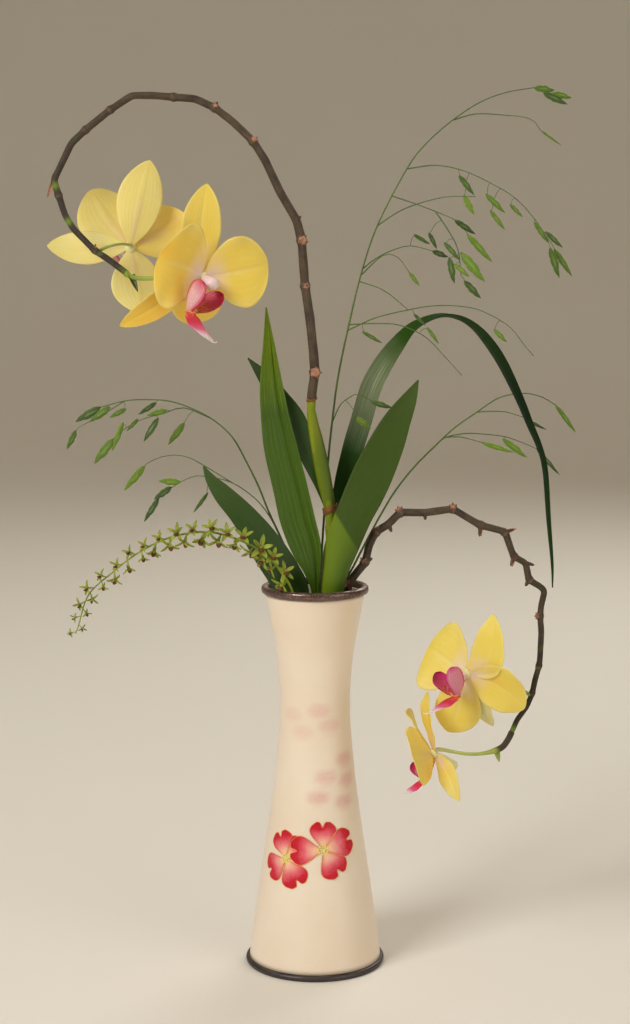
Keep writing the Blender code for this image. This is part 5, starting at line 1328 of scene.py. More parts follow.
GRASS_RIGHT_EARS = metres((
    ((134, 25, 544), (147, 27, 542.5), 4.5), ((146, 27, 541), (158, 30, 538), 4),
    ((140, 26, 541), (155, 28, 534), 4.5), ((140, 38, 519), (153, 40, 510), 2.2),
    ((138, 48, 463), (147, 50, 450), 4.5), ((145, 48, 457), (156, 50, 447), 4.5),
    ((148, 47, 447), (154, 48, 428), 5), ((151, 50, 446), (163, 56.5, 429), 5),
    ((106, 34, 480), (118, 32, 468), 4), ((122, 43, 474), (130, 44, 466), 3.5),
    ((86, 23, 464), (99, 24, 455), 4), ((94, 22, 455), (109, 20, 438), 5.5),
    ((89, 28, 491), (98, 26, 479), 5), ((92, 29, 479), (98, 26, 467), 4.5),
    ((109, 36, 470), (118, 34, 458), 4), ((73, 32, 445), (83, 34, 441), 4),
    ((79, 9, 450), (88, 4, 439), 4.5), ((82, 8, 441), (85, 6, 425), 4.5),
    ((85, 6, 437), (94, 3, 429), 4), ((91, 5, 427), (101, 4, 416), 4.5),
    ((89, 5, 444), (103, 0, 426), 6), ((61, 24, 455), (71, 26, 449), 3.8),
    ((70, 19, 456), (75, 19, 446), 3.8), ((57, -6, 432), (63, -7, 424), 3.5),
    ((60, -3, 407), (67, -4, 400), 3), ((68, -6, 399), (75, -7, 389), 3),
    ((108, -9, 398), (116, -10, 390), 3), ((29, 4, 396), (41, 3, 389), 3.5),
    ((34, -4, 354), (47, -6, 350), 5), ((25.5, -3, 344), (34, -3, 337), 4),
))
GRASS_LEFT_MAIN = metres((
    (-9.5, 8.5, 215), (-11.5, 8, 240), (-16.5, 8, 257), (-23, 8, 272), (-29, 9, 285), (-35, 10, 300),
    (-43, 12, 316), (-51, 14, 330), (-62, 17, 340), (-75, 20, 347), (-90, 22, 352), (-105, 24, 353),
    (-119, 25, 352), (-134, 26, 348),
))
GRASS_LEFT_BRANCHES = metres((
    ((-65, 17.5, 342), (-81, 8, 349), (-93, 2, 346), (-105, -3, 343), (-115, -6, 338), (-123, -7, 331)),
    ((-23, 8, 272), (-29, 7, 283), (-37, 6, 293), (-51, 4, 303), (-66, 2, 307), (-76, 0, 307),
     (-89, -2, 300), (-96, -3, 294)),
    ((-51, 4, 303), (-72, 10, 315), (-83, 13, 319), (-95, 16, 318), (-104, 16, 314)),
    ((-119, 25, 352), (-132, 24, 344), (-145, 22, 337)),
))
GRASS_LEFT_EARS = metres((
    ((-134, 26, 348), (-150, 26, 339), 5.5), ((-128, 26, 348), (-141, 24, 339), 5),
    ((-118, 25, 347), (-128, 22, 342), 4.5), ((-149, 22, 334), (-155, 20, 322), 4),
    ((-99, 23, 351), (-110, 20, 344), 4.5), ((-91, 2, 348), (-103, 0, 345), 4),
    ((-96, 2, 343), (-105, 0, 329), 6), ((-81, 14, 339), (-91, 12, 326), 6),
    ((-117, -5, 341), (-124, -7, 324), 5), ((-108, -3, 343), (-115, -8, 336), 3.5),
    ((-123, -7, 331), (-135, -8, 316), 5.5), ((-106, 16, 312), (-119, 16, 297), 6),
    ((-82, -1, 304), (-96, -2, 305), 4.5), ((-88, -2, 301), (-99, -6, 294), 4.5),
    ((-96, -3, 294), (-105, -4, 280), 5), ((-66, 2, 297), (-75, 0, 285), 3.5),
))
GRASS_LOW_MAIN = metres((
    (16.5, 8.5, 215), (19.5, 9, 240), (24, 9.5, 250), (32, 9, 266), (41, 8, 283), (50, 8, 298),
    (62, 9, 313), (75, 10, 326), (87, 11, 337), (100, 12, 346), (112, 13, 354), (122, 14, 357),
    (131, 15, 357.5), (141, 16, 355), (149.5, 17, 350),
))
GRASS_LOW_BRANCHES = metres((
    ((100, 12, 346), (107, 6, 347), (117, 2, 347), (127, 1, 344)),
    ((75, 10, 326), (81, 16, 330), (94, 22, 332), (107, 27, 331), (120, 31, 329), (131, 34, 325),
     (140, 36, 321)),
    ((80, 15, 329.5), (90, 14, 330.5), (104, 13, 327)),
))
GRASS_LOW_EARS = metres((
    ((149.5, 17, 350), (162, 17, 333), 4), ((128, 1, 343), (142, 1, 336), 3),
    ((140, 36, 321), (155, 37, 304), 2.8), ((104, 13, 327), (123, 12, 321), 4.5),
    ((118, 30, 328), (133, 28, 316), 4.5),
))
GRASS_SPACING = 0.004
STEM_RADII = (0.0008, 0.0003)
BRANCH_RADII = (0.00042, 0.00022)
HAIR_RADIUS = 0.0002
HAIR_SPACING = 0.002
HAIR_SAG = 0.12
EAR_GAP = 0.0008
EAR_WIDTH = 0.42
EAR_SCALE_THICKNESS = 0.022


def ear_scale(start, lean, length, half):
    """One scale of an ear one unit long: a folded boat that leans out to one side."""
    def place(across, along):
        width = half * math.sin(math.pi * (0.06 + 0.94 * along)) ** 0.75 * (1.0 - 0.25 * along)
        x = lean * (0.35 * along + 0.5 * math.sin(math.pi * along)) + width * across
        y = -0.07 * (1.0 - across ** 2) * math.sin(math.pi * along) - 0.012 * start
        return Vector((x, y, start + length * along))

    return thicken(sheet("ear_scale", 4, 7, place, ear=1.0), EAR_SCALE_THICKNESS)


def ear_master(spread):
    layout = ((0.0, 0.10, 0.52, 0.12), (0.03, -0.10, 0.55, 0.12), (0.18, 0.12, 0.55, 0.12),
              (0.24, -0.12, 0.55, 0.12), (0.38, 0.07, 0.54, 0.11), (0.46, -0.03, 0.54, 0.10))
    scales = [ear_scale(start, lean * spread, length, half) for start, lean, length, half in layout]
    core_route = [Vector((0.0, 0.03, z)) for z in (0.0, 0.2, 0.5, 0.8, 0.93)]
    core = rolled("ear_core", core_route, (0.02, 0.09, 0.13, 0.07, 0.01), 8, ear=1.0)
    return joined("ear", scales + [core])


EARS = (ear_master(0.6), ear_master(1.2))


def tapered(radii, route):
    thick, thin = radii
    return [thick - (thick - thin) * step / len(route) for step in range(len(route))]


def grass(name, at_waist, main, branches, ears, seed):
    """A grass: stems, branches that start on them, hair stalks and ears."""
    draw = random.Random(seed)
    routes = [path(main, GRASS_SPACING)]
    radii = [STEM_RADII[0]] * len(HIDDEN_SHARES) + tapered(STEM_RADII, routes[0])
    pieces = [rolled("stem", stem_foot(at_waist) + routes[0], radii, 8, ear=0.0)]
    for branch in branches:
        stem_points = [point for route in routes for point in route]
        start = stem_points[nearest(stem_points, branch[0])]
        route = path([tuple(start)] + list(branch[1:]), GRASS_SPACING)
        pieces.append(rolled("branch", route, tapered(BRANCH_RADII, route), 6, ear=0.0))
        routes.append(route)
    stem_points = [point for route in routes for point in route]
    for base, tip, width in ears:
        base = Vector(base)
        tip = Vector(tip)
        start = stem_points[nearest(stem_points, base)]
        if (start - base).length > EAR_GAP:
            sag = start.lerp(base, 0.5) + UP * HAIR_SAG * (start - base).length
            hair = path([tuple(start), tuple(sag), tuple(base.lerp(tip, 0.08))], HAIR_SPACING)
            pieces.append(rolled("hair", hair, [HAIR_RADIUS] * len(hair), 5, ear=0.0))
        else:
            base = start
        length = (tip - base).length
        axis = (tip - base).normalized()
        face = FRONT + Vector((draw.uniform(-0.5, 0.5), 0.0, draw.uniform(-0.3, 0.3)))
        side = axis.cross(face).normalized()
        turn = Matrix((side, axis.cross(side), axis)).transposed().to_4x4()
        wide = width / EAR_WIDTH
        matrix = Matrix.Translation(base) @ turn @ Matrix.Diagonal((wide, wide, length, 1.0))
        ear = copied(EARS[draw.randrange(2)], matrix)
        pieces.append(paint(ear, "ear", [draw.uniform(0.35, 1.0)] * len(ear.data.vertices)))
    return joined(name, pieces)


grass_green, tree, shader = start_material("Grass green")
line, streak, margin, _ = grain_lines(tree, 5.0, 1.0)
patches, _ = mottle(tree, 60.0, 1600.0)
stem_colour = mixed(tree, patches, tone(92, 118, 42), tone(62, 90, 36))
ear = attribute(tree, "ear")
ear_colour = mixed(tree, span(tree, ear, 0.35, 1.0), tone(50, 76, 34), tone(112, 146, 28))
ear_colour = mixed(tree, upto(tree, line, 0.5), ear_colour, tone(42, 66, 20))
ear_colour = mixed(tree, span(tree, margin, 0.55, 1.0, 0.0, 0.5), ear_colour, tone(162, 182, 76))
on_ear = span(tree, ear, 0.05, 0.3)
colour = mixed(tree, on_ear, stem_colour, ear_colour)
surface(tree, shader, colour, (streak, 0.42, 0.6), (line, 0.0001, 0.5))
for side, at_waist, shape, seed in (
    ("right", (-0.001, 0.008), (GRASS_RIGHT_MAIN, GRASS_RIGHT_BRANCHES, GRASS_RIGHT_EARS), 11),
    ("left", (-0.009, 0.008), (GRASS_LEFT_MAIN, GRASS_LEFT_BRANCHES, GRASS_LEFT_EARS), 12),
    ("low", (0.0145, 0.0075), (GRASS_LOW_MAIN, GRASS_LOW_BRANCHES, GRASS_LOW_EARS), 13),
):
    keep(coat(grass(f"{side}_grass", at_waist, *shape, seed), grass_green), "grass_green", f"grass_{side}")
for ear in EARS:
    bpy.data.objects.remove(ear, do_unlink=True)

# %% [markdown]
# The yellow orchids. A flower has three sepals behind and two broad petals in front, all joined at a
# small hub. Each is a grid whose width follows its outline, cupped a little, with a fine ruffle at the
# edge. The values are the tip's place, the width, how far the middle bulges, how far the outline leans
# to one side and, where a petal is twisted, a face of its own.

# %% Sepals and petals
PETAL = "petal"
SEPAL = "sepal"
BROAD_SEPAL = "broad_sepal"
# Round each flower's spot the tepals are painted deeper gold: a painted shadow where a tepal lies in
# shade. The first flower's last warmth, 0.62, deepens its last petal as painted shade too.
BLOOMS = (
    {
        "centre": (-0.113, 0.012, 0.447), "facing": (-0.30, 0.92, -0.25),
        "warm": (0.24, 0.20, 0.18, 0.26, 0.62), "shade_spot": (-0.086, 0.020, 0.462),
        "tepals": (
            (SEPAL, (-0.1005, 0.010, 0.4995), 0.028, 0.06), (SEPAL, (-0.163, 0.006, 0.448), 0.021, 0.04),
            (SEPAL, (-0.1050, 0.009, 0.4065), 0.032, 0.04), (PETAL, (-0.1375, 0.022, 0.4820), 0.037, 0.10),
            (PETAL, (-0.079, 0.026, 0.466), 0.034, 0.10),
        ),
        "lip": ((-0.1160, 0.0225, 0.4322), (-0.30, 0.90, -0.32), (-0.10, 0.25, 0.96), 0.85), "violet": 0.5,
        "column": (-0.30, 0.90, -0.30),
    },
    {
        "centre": (-0.066, -0.032, 0.430), "facing": (0.30, -0.92, -0.20),
        "warm": (0.52, 0.80, 0.70, 0.66, 0.56), "shade_spot": (-0.090, -0.045, 0.448),
        "tepals": (
            (SEPAL, (-0.0635, -0.030, 0.484), 0.024, 0.04, -0.25),
            (SEPAL, (-0.115, -0.040, 0.401), 0.016, 0.05), (SEPAL, (-0.0755, -0.010, 0.401), 0.030, 0.05),
            (PETAL, (-0.092, -0.050, 0.439), 0.053, 0.08, 0.08),
            (PETAL, (-0.028, -0.026, 0.438), 0.044, 0.06, 0.06),
        ),
        "lip": ((-0.0752, -0.0390, 0.4086), (0.68, -0.66, -0.33), (0.50, 0.06, 0.86), 1.1), "violet": 0.1,
        "column": (0.55, -0.72, -0.42),
    },
    {
        "centre": (0.092, -0.028, 0.190), "facing": (-0.72, -0.62, -0.22),
        "warm": (0.44, 0.40, 0.04, 0.42, 0.44), "shade_spot": (0.1165, -0.034, 0.190),
        "tepals": (
            (BROAD_SEPAL, (0.1069, -0.038, 0.2285), 0.0250, 0.05, 0.80),
            (SEPAL, (0.0826, -0.008, 0.149), 0.029, 0.05, -0.14, (-0.35, -0.88, -0.30)),
            (SEPAL, (0.110, -0.014, 0.154), 0.018, 0.05),
            (PETAL, (0.0707, -0.001, 0.2012), 0.046, 0.08, 0.0, (-0.66, -0.66, 0.35)),
            (PETAL, (0.1267, -0.040, 0.1713), 0.0347, 0.06, -0.40),
        ),
        "lip": ((0.0869, -0.0400, 0.1774), (-0.86, -0.52, 0.02), (-0.17, 0.31, 0.94), 0.98), "violet": 0.9,
        "column": (-0.60, -0.75, -0.25),
    },
    {
        "centre": (0.073, -0.020, 0.138), "facing": (-0.74, -0.24, -0.55),
        "warm": (0.50, 0.30, 0.06, 0.46, 0.50), "shade_spot": (0.0680, -0.030, 0.128),
        "tepals": (
            (SEPAL, (0.0690, -0.021, 0.177), 0.018, 0.05, 0.0, (-0.96, -0.28, 0.0)),
            (SEPAL, (0.0877, -0.037, 0.1127), 0.0165, 0.05, -0.45, (-0.45, -0.80, -0.40)),
            (SEPAL, (0.0896, 0.010, 0.125), 0.016, 0.05),
            (PETAL, (0.061, 0.006, 0.159), 0.032, 0.06, 0.0, (-0.877, -0.07, -0.48)),
            (PETAL, (0.0584, -0.046, 0.1437), 0.037, 0.03, 0.0, (-0.84, 0.39, -0.38)),
        ),
        "lip": ((0.0685, -0.0220, 0.1222), (-0.94, -0.25, -0.22), (-0.22, 0.0, 0.97), 0.62), "violet": 0.8,
        "column": (-0.85, -0.05, -0.45),
    },
)
TEPAL_FORMS = {
    PETAL: {"rows": 34, "cells": 30, "peak": 1.25, "fullness": 0.55, "offset": 0.0006, "ruffle": 0.0009},
    SEPAL: {"rows": 30, "cells": 22, "peak": 1.1, "fullness": 0.7, "offset": -0.0006, "ruffle": 0.0005},
    BROAD_SEPAL: {"rows": 32, "cells": 24, "peak": 0.8, "fullness": 0.6, "offset": -0.0006,
                  "ruffle": 0.0006},
}
BULGE_PEAK = 6.75
TEPAL_THICKNESS = 0.0005
SHADE_SPOT_REACH = 0.008
SHADE_SPOT_WARMTH = 0.5
HUB_STEPS = metres((-1.6, -1.2, 0, 1, 1.6))
HUB_RADII = metres((1.2, 2.8, 3.6, 3, 1.4))
HUB_WARMTH = 0.05


def tepal(kind, centre, facing, warmth, shade_spot, seed, tip, width, bulge, lean=0.0, own_face=None):
    """A petal or sepal from the hub to its tip, its warmth painted on, deeper round a spot of painted
    shade.
    """
    form = TEPAL_FORMS[kind]
    phase = random.Random(seed).uniform(0.0, math.tau)
    tip = Vector(tip)
    face = Vector(own_face) if own_face else facing
    start = centre + facing * form["offset"]
    root = start + (tip - start).normalized() * 0.001
    length = (tip - root).length
    direction = (tip - root).normalized()
    side = direction.cross(face).normalized()
    outward = side.cross(direction).normalized()

    def place(across, along):
        share = math.sin(math.pi / 2 * along)
        half = width / 2 * math.sin(math.pi * share ** form["peak"]) ** form["fullness"]
        sway = side * (half * lean + max(half, 0.0024 * (1.0 - share), 0.0003) * across)
        cup = 0.10 * width / 2 * across ** 2 * math.sin(math.pi * share)
        groove = -0.0005 * math.exp(-(across / 0.10) ** 2) * math.sin(math.pi * share)
        ripple = math.sin(share * 8.0 + phase + across) + 0.5 * math.sin(share * 19.0 + 2.0 * phase)
        ruffle = ripple * form["ruffle"] * abs(across) ** 3 * math.sin(math.pi * share) ** 0.5
        raised = bulge * length * BULGE_PEAK * share ** 2 * (1.0 - share) + cup + groove + ruffle
        return root + direction * length * share + sway + outward * raised

    # Deeper gold round the spot is painted shade.
    def warm(across, along):
        away = (place(across, along) - Vector(shade_spot)).length / SHADE_SPOT_REACH
        return warmth + SHADE_SPOT_WARMTH * math.exp(-away ** 2)

    return thicken(sheet("tepal", form["cells"], form["rows"], place, warm=warm), TEPAL_THICKNESS)


petal_skin, tree, shader = start_material("Petal skin", Subsurface_Weight=0.12, Subsurface_Scale=0.004)
line, streak, margin, along = grain_lines(tree, 11.0, 2.2)
patches, grain = mottle(tree, 90.0, 2400.0)
rear = attribute(tree, "rear")
cloudy = times(tree, maths(tree, "SUBTRACT", patches, 0.5), 0.10)
warm = maths(tree, "ADD", attribute(tree, "warm"), cloudy)
yellow = ramp(tree, warm, (
    (0.0, tone(238, 238, 184)), (0.22, tone(252, 230, 132)), (0.46, tone(248, 221, 96)),
    (0.70, tone(247, 208, 80)), (1.0, tone(238, 180, 44)),
))
colour = mixed(tree, span(tree, margin, 0.72, 1.0, 0.0, 0.35), yellow, tone(250, 234, 158))
colour = mixed(tree, upto(tree, streak, 0.18), colour, tone(240, 204, 78))
colour = mixed(tree, upto(tree, line, 0.07), colour, tone(222, 188, 76))
rib = times(tree, span(tree, margin, 0.10, 0.0), span(tree, along, 0.75, 0.25))
colour = mixed(tree, times(tree, rib, 0.20), colour, tone(250, 240, 206))
blush = times(tree, span(tree, along, 0.26, 0.03), span(tree, margin, 1.0, 0.2))
colour = mixed(tree, blush, colour, tone(246, 218, 206))
back = mixed(tree, 0.25, yellow, tone(252, 234, 160))
back = mixed(tree, upto(tree, streak, 0.14), back, tone(242, 212, 100))
mauve = times(tree, span(tree, margin, 0.34, 0.0), span(tree, along, 0.48, 0.0, 0.0, 0.6))
back = mixed(tree, mauve, back, tone(226, 190, 166))
colour = mixed(tree, rear, colour, back)
grainy = maths(tree, "ADD", line, times(tree, grain, 0.5))
surface(tree, shader, colour, (grain, 0.42, 0.56), (grainy, 0.0001, 0.4))

for number, bloom in enumerate(BLOOMS, start=1):
    centre = Vector(bloom["centre"])
    facing = Vector(bloom["facing"]).normalized()
    hub = [centre + facing * step for step in HUB_STEPS]
    pieces = [rolled("hub", hub, HUB_RADII, 16, warm=HUB_WARMTH)]
    for index, (kind, *shape) in enumerate(bloom["tepals"]):
        warmth = bloom["warm"][index]
        pieces.append(tepal(kind, centre, facing, warmth, bloom["shade_spot"], number * 10 + index, *shape))
    petals = coat(joined(f"bloom_{number}_petals", pieces), petal_skin)
    keep(petals, "petal_yellow", f"bloom_{number}_tepals")

# %% [markdown]
# The lip is the flower's landing place: two side lobes stand up round a spotted callus, and a long
# middle lobe with a keel runs forward and ends in two white tendrils. It is drawn once in its own frame,
# with x to the side, y out of the flower and z up, and placed in each flower.

# %% Lips
MIDDLE_LOBE = metres((
    (0, -0.6, 0.4, 2), (0, 3.5, 0.6, 4.4), (0, 8, -0.2, 7.4), (0, 12.5, -1.8, 9), (0, 17, -3.8, 8.8),
    (0, 20.5, -5.5, 6.8), (0, 22.6, -6.5, 3.8), (0, 23.4, -6.8, 0.3),
))
SIDE_LOBE = metres((
    (0.8, 0.2, 0.4, 1.8), (3.8, 1.8, 3.8, 4), (6.6, 3.8, 8.6, 6.2), (8.4, 5.8, 12.8, 6.5),
    (9.1, 6.8, 15.2, 5.4), (9.4, 7.6, 17.2, 3.4), (9.5, 7.9, 18.1, 0.3),
))
SIDE_LOBE_ACROSS = (-0.086, 0.925, -0.369)
SIDE_LOBE_CUP = 0.0013
MIDDLE_LOBE_DROP = 0.0026
MIDDLE_LOBE_KEEL = 0.0008
LIP_TENDRIL = metres(((0.4, 22, -6.2), (1.2, 24.2, -7), (3.4, 25.2, -6.6), (4.8, 24.4, -5.4)))
CALLUS_ROUTE = metres(((-0.4, 0.8), (0.8, 2), (2.2, 2.6), (4, 2.2), (5.4, 1)))
CALLUS_RADII = metres((1, 2.2, 2.8, 2, 0.5))
STRAP_OUT = 0.0012
STRAP_DOWN = 0.0026
LOBE_THICKNESS = 0.0005
LIP_SPACING = 0.0006
CLAW_RADIUS = 0.0012
CLAW_PART = 0.62
CALLUS_PART = 0.75
TENDRIL_PART = 1.0


def lip_frame(bloom):
    """The matrix that takes the lip's own frame to its place, with its size."""
    callus, out, up, size = bloom["lip"]
    out = Vector(out).normalized()
    up = Vector(up)
    up = (up - out * up.dot(out)).normalized()
    turn = Matrix((out.cross(up), out, up)).transposed().to_4x4()
    return Matrix.Translation(Vector(callus)) @ turn @ Matrix.Scale(size, 4)


def lobe(name, stations, cells, across_way, lift, part):
    """A lobe from (x, y, z, half width) stations; lift(across, along) raises its surface."""
    route = smooth(stations, LIP_SPACING)
    spine = [station.xyz for station in route]
    along_route = tangents(spine)

    def place(across, along):
        row = round(along * (len(route) - 1))
        way = Vector(across_way)
        side = (way - along_route[row] * way.dot(along_route[row])).normalized()
        half = max(route[row][3], THINNEST)
        return spine[row] + side * half * across + side.cross(along_route[row]) * lift(across, along)

    return thicken(sheet(name, cells, len(route) - 1, place, part=part), LOBE_THICKNESS)


def mirrored(stations, sign):
    return [(station[0] * sign, *station[1:]) for station in stations]


def make_lip():
    """The whole lip in its own frame."""
    def middle_lift(across, along):
        grown = math.sin(math.pi * along)
        wave = 0.00025 * math.sin(along * 17.0) * across ** 2
        arch = MIDDLE_LOBE_KEEL * math.exp(-(across / 0.2) ** 2) - MIDDLE_LOBE_DROP * abs(across) ** 1.4
        return arch * grown + wave

    pieces = [lobe("middle_lobe", MIDDLE_LOBE, 18, (1.0, 0.0, 0.0), middle_lift, 0.0)]
    for sign in (-1.0, 1.0):
        def side_lift(across, along, sign=sign):
            wave = 0.0002 * math.sin(along * 13.0 + sign) * abs(across) ** 3
            return -sign * (SIDE_LOBE_CUP * across ** 2 + wave)

        way = (sign * SIDE_LOBE_ACROSS[0], *SIDE_LOBE_ACROSS[1:])
        pieces.append(lobe("side_lobe", mirrored(SIDE_LOBE, sign), 18, way, side_lift, 0.5 - 0.05 * sign))
        route = path(mirrored(LIP_TENDRIL, sign), LIP_SPACING)
        radii = [0.00055 - 0.0004 * step / len(route) for step in range(len(route))]
        pieces.append(rolled("tendril", route, radii, 8, part=TENDRIL_PART))
    callus = [Vector((0.0, y, z)) for y, z in CALLUS_ROUTE]
    pieces.append(rolled("callus", callus, CALLUS_RADII, 14, 4, 0.12, part=CALLUS_PART))
    return joined("lip", pieces)


def claw_strap(bloom, matrix):
    """The narrow strap that ties the lip to the flower's hub."""
    centre = Vector(bloom["centre"])
    facing = Vector(bloom["facing"]).normalized()
    up = Vector(bloom["tepals"][0][1]) - centre
    up = (up - facing * up.dot(facing)).normalized()
    start = centre + facing * STRAP_OUT - up * STRAP_DOWN
    end = matrix @ Vector((0.0, 0.0006, 0.0012))
    belly = start.lerp(end, 0.5) - up * 0.0008
    route = path([tuple(start), tuple(belly), tuple(end)], 0.001)
    return rolled("claw", route, [CLAW_RADIUS] * len(route), 12, part=CLAW_PART)


lip_skin, tree, shader = start_material("Lip skin", Subsurface_Weight=0.1, Subsurface_Scale=0.003)
line, streak, margin, along = grain_lines(tree, 8.0, 2.0)
part = attribute(tree, "part")
rear = attribute(tree, "rear")
violet = attribute(tree, "violet")
speckle = speckles(tree, 800.0)
middle = ramp(tree, along, (
    (0.0, tone(236, 110, 64)), (0.16, tone(226, 44, 60)), (0.55, tone(226, 44, 84)),
    (0.76, tone(236, 96, 146)), (0.9, tone(250, 206, 222)), (1.0, tone(253, 242, 240)),
))
middle_line = times(tree, span(tree, margin, 0.22, 0.0), span(tree, along, 0.8, 0.5))
middle = mixed(tree, middle_line, middle, tone(184, 18, 50))
throat_spots = times(tree, span(tree, speckle, 0.42, 0.30), span(tree, along, 0.45, 0.2))
middle = mixed(tree, throat_spots, middle, tone(250, 190, 120))
crimson = mixed(tree, violet, tone(204, 24, 76), tone(200, 26, 112))
deep = mixed(tree, violet, tone(160, 14, 52), tone(150, 16, 84))
streaked = mixed(tree, streak, tone(226, 108, 124), crimson)
inner = mixed(tree, span(tree, along, 0.22, 0.60), tone(242, 150, 96), streaked)
inner = mixed(tree, span(tree, along, 0.60, 0.85), inner, crimson)
dotted = times(tree, span(tree, speckle, 0.44, 0.30), span(tree, along, 0.75, 0.5))
inner = mixed(tree, dotted, inner, tone(186, 22, 52))
inner = mixed(tree, upto(tree, line, 0.4), inner, deep)
pale = mixed(tree, upto(tree, streak, 0.6), tone(240, 206, 200), tone(226, 140, 166))
edging = maths(tree, "MAXIMUM", span(tree, margin, 0.5, 0.95), span(tree, along, 0.62, 1.0))
outer = mixed(tree, maths(tree, "MAXIMUM", edging, times(tree, violet, 0.55)), pale, crimson)
outer = mixed(tree, upto(tree, line, 0.3), outer, crimson)
own_side = span(tree, part, 0.49, 0.51)
side_lobe = mixed(tree, rear, mixed(tree, own_side, outer, inner), mixed(tree, own_side, inner, outer))
colour = mixed(tree, span(tree, part, 0.2, 0.4), middle, side_lobe)
orange = mixed(tree, span(tree, speckle, 0.42, 0.30), tone(244, 168, 92), tone(206, 44, 52))
colour = mixed(tree, span(tree, part, 0.57, 0.61), colour, orange)
colour = mixed(tree, span(tree, part, 0.85, 0.95), colour, tone(252, 240, 242))
surface(tree, shader, colour, (streak, 0.34, 0.5), (line, 0.00015, 0.5))

lip_master = make_lip()
for number, bloom in enumerate(BLOOMS, start=1):
    matrix = lip_frame(bloom)
    lip = joined(f"bloom_{number}_lobes", [copied(lip_master, matrix), claw_strap(bloom, matrix)])
    paint(lip, "violet", [bloom["violet"]] * len(lip.data.vertices))
    keep(coat(lip, lip_skin), "lip_crimson", f"bloom_{number}_lip")
bpy.data.objects.remove(lip_master, do_unlink=True)

# %% [markdown]
# The column is the flower's pale finger above the lip: a short stem that widens to a rounded cap over
# the pollen. It is rolled along its route and then spread sideways, so that it has low wings.

# %% Columns
COLUMN_START = 0.0010
COLUMN_LENGTH = 0.0126
COLUMN_SHAPE = (
    (0.0, 0.0014), (0.12, 0.0019), (0.3, 0.0023), (0.5, 0.0028), (0.72, 0.0033), (0.86, 0.0033),
    (0.96, 0.0024), (1.0, 0.001),
)
COLUMN_WINGS = 1.2
column_skin, tree, shader = start_material("Column skin", Subsurface_Weight=0.15, Subsurface_Scale=0.003)
_, streak, _, along = grain_lines(tree, 4.0, 1.5)
_, grain = mottle(tree, 300.0, 2400.0)
colour = ramp(tree, along, (
    (0.0, tone(248, 228, 196)), (0.35, tone(244, 212, 214)), (0.7, tone(250, 232, 232)),
    (0.86, tone(250, 226, 222)), (1.0, tone(250, 240, 222)),
))
colour = mixed(tree, span(tree, streak, 0.3, 1.0, 0.0, 0.4), colour, tone(226, 150, 180))
surface(tree, shader, colour, (grain, 0.35, 0.5), (grain, 0.0001, 0.4))

for number, bloom in enumerate(BLOOMS, start=1):
    aim = Vector(bloom["column"]).normalized()
    facing = Vector(bloom["facing"]).normalized()
    start = Vector(bloom["centre"]) + facing * COLUMN_START
    size = 0.6 + 0.4 * bloom["lip"][3]
    stations = []
    for share, radius in COLUMN_SHAPE:
        stations.append((*(start + aim * COLUMN_LENGTH * size * share), radius * size))
    route = smooth(stations, LIP_SPACING)
    radii = [max(station[3], THINNEST) for station in route]
    column = rolled("column", [station.xyz for station in route], radii, 24, 2, 0.06)
    wing_way = aim.cross(Vector(bloom["tepals"][0][1]) - start).normalized()
    for vert in column.data.vertices:
        vert.co += wing_way * (vert.co - start).dot(wing_way) * (COLUMN_WINGS - 1.0)
    finger = coat(joined(f"bloom_{number}_finger", [column]), column_skin)
    keep(finger, "column_pale", f"bloom_{number}_column")

# %% [markdown]
# Each flower hangs on a green stalk with six faint ribs, which leaves the spike at a joint beside a
# small green bract and ends square behind the hub.

# %% Flower stalks
STALKS = (
    {"bloom": 1, "foot": 0.0010, "stem": 0.0008, "bract": None,
     "places": ((-0.1298, -0.0110, 0.4450), (-0.1240, -0.0095, 0.4475), (-0.1170, -0.005, 0.4490))},
    {"bloom": 2, "foot": 0.0021, "stem": 0.0013,
     "bract": ((-0.1100, -0.0180, 0.4305), (-0.1062, -0.0200, 0.4200)),
     "places": ((-0.1132, -0.0170, 0.4316), (-0.1080, -0.0185, 0.4289), (-0.0950, -0.0195, 0.4287),
                (-0.0800, -0.0195, 0.4305))},
    {"bloom": 3, "foot": 0.0012, "stem": 0.0010, "bract": None,
     "places": ((0.1330, -0.0095, 0.1725), (0.1230, -0.0125, 0.1790), (0.1120, -0.0170, 0.1850))},
    {"bloom": 4, "foot": 0.0018, "stem": 0.0010,
     "bract": ((0.1122, -0.0155, 0.1400), (0.1140, -0.0165, 0.1320)),
     "places": ((0.1216, -0.0141, 0.1502), (0.1190, -0.0150, 0.1452), (0.1150, -0.0155, 0.1405),
                (0.1060, -0.0158, 0.1374), (0.0940, -0.0160, 0.1368))},
)
WOODY_BLOOM = 4
WOODY_SHARE = 0.30
STALK_BEHIND_HUB = 0.0012
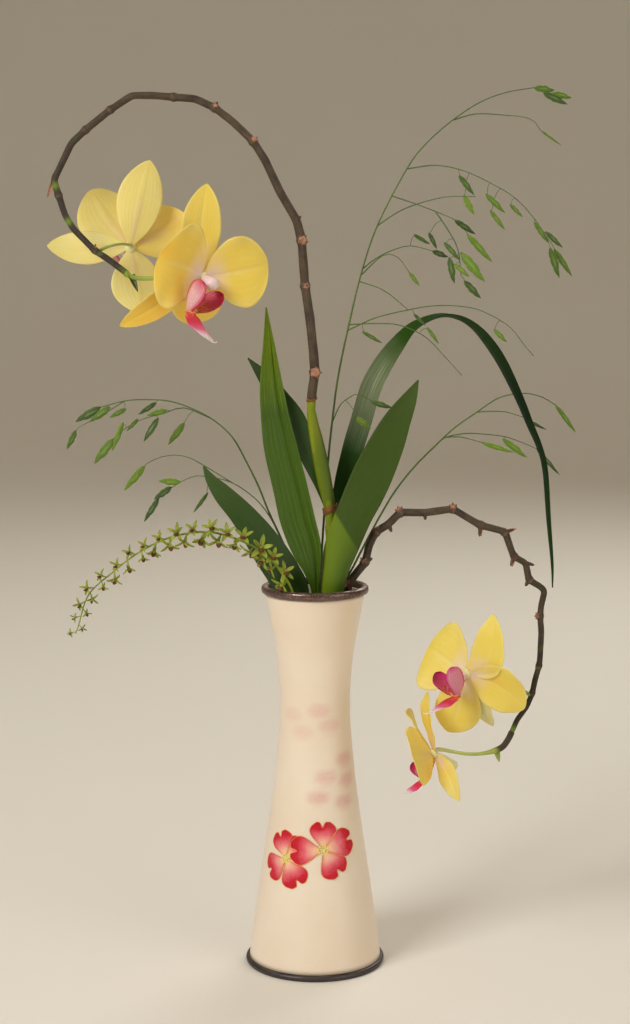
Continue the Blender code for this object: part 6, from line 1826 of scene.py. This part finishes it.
STALK_STRAIGHT = 0.0030
STALK_SPACING = 0.0015
BRACT_HALF = 0.0022
BRACT_CURL = 1.2
stalk_skin, tree, shader = start_material("Flower stalk green", **THIN_PLANT)
line, _, _, along = grain_lines(tree, 6.0, 1.0)
patches, grain = mottle(tree, 160.0, 2000.0)
colour = ramp(tree, along, (
    (0.0, tone(128, 150, 36)), (0.25, tone(176, 192, 84)), (0.8, tone(200, 208, 116)),
    (1.0, tone(240, 224, 184)),
))
colour = mixed(tree, attribute(tree, "leafy"), colour, tone(46, 74, 22))
colour = mixed(tree, upto(tree, line, 0.25), colour, tone(96, 124, 34))
colour = mixed(tree, upto(tree, patches, 0.2), colour, tone(90, 118, 34))
wood = mixed(tree, patches, tone(70, 56, 30), tone(42, 34, 20))
colour = mixed(tree, attribute(tree, "woody"), colour, wood)
surface(tree, shader, colour, (grain, 0.4, 0.55), (line, 0.0001, 0.4))

for entry in STALKS:
    number = entry["bloom"]
    bloom = BLOOMS[number - 1]
    facing = Vector(bloom["facing"]).normalized()
    back = Vector(bloom["centre"]) - facing * STALK_BEHIND_HUB
    before = back - facing * STALK_STRAIGHT
    route = path([*entry["places"], tuple(before), tuple(back)], STALK_SPACING)
    count = len(route)
    stem = entry["stem"]
    bark_rows = WOODY_SHARE * count if number == WOODY_BLOOM else 0.0
    radii = []
    for step in range(count):
        thick = math.exp(-max(0.0, step - bark_rows) / 2.5)
        radii.append(stem + (entry["foot"] - stem) * thick + 0.0006 * (step / count) ** 8)

    def bark_here(_across, along, rows=bark_rows, count=count):
        return min(1.0, max(0.0, rows - along * count))

    pieces = [rolled("flower_stalk", route, radii, 18, 6, 0.07, leafy=0.0, woody=bark_here)]
    if entry["bract"]:
        bract = scale_leaf(*entry["bract"], BRACT_HALF, BRACT_CURL, number)
        pieces.append(paint(bract, "leafy", [1.0 if number == 2 else 0.3] * len(bract.data.vertices)))
    keep(coat(joined(f"stalk_{number}", pieces), stalk_skin), "cane_green", f"pedicel_{number}")
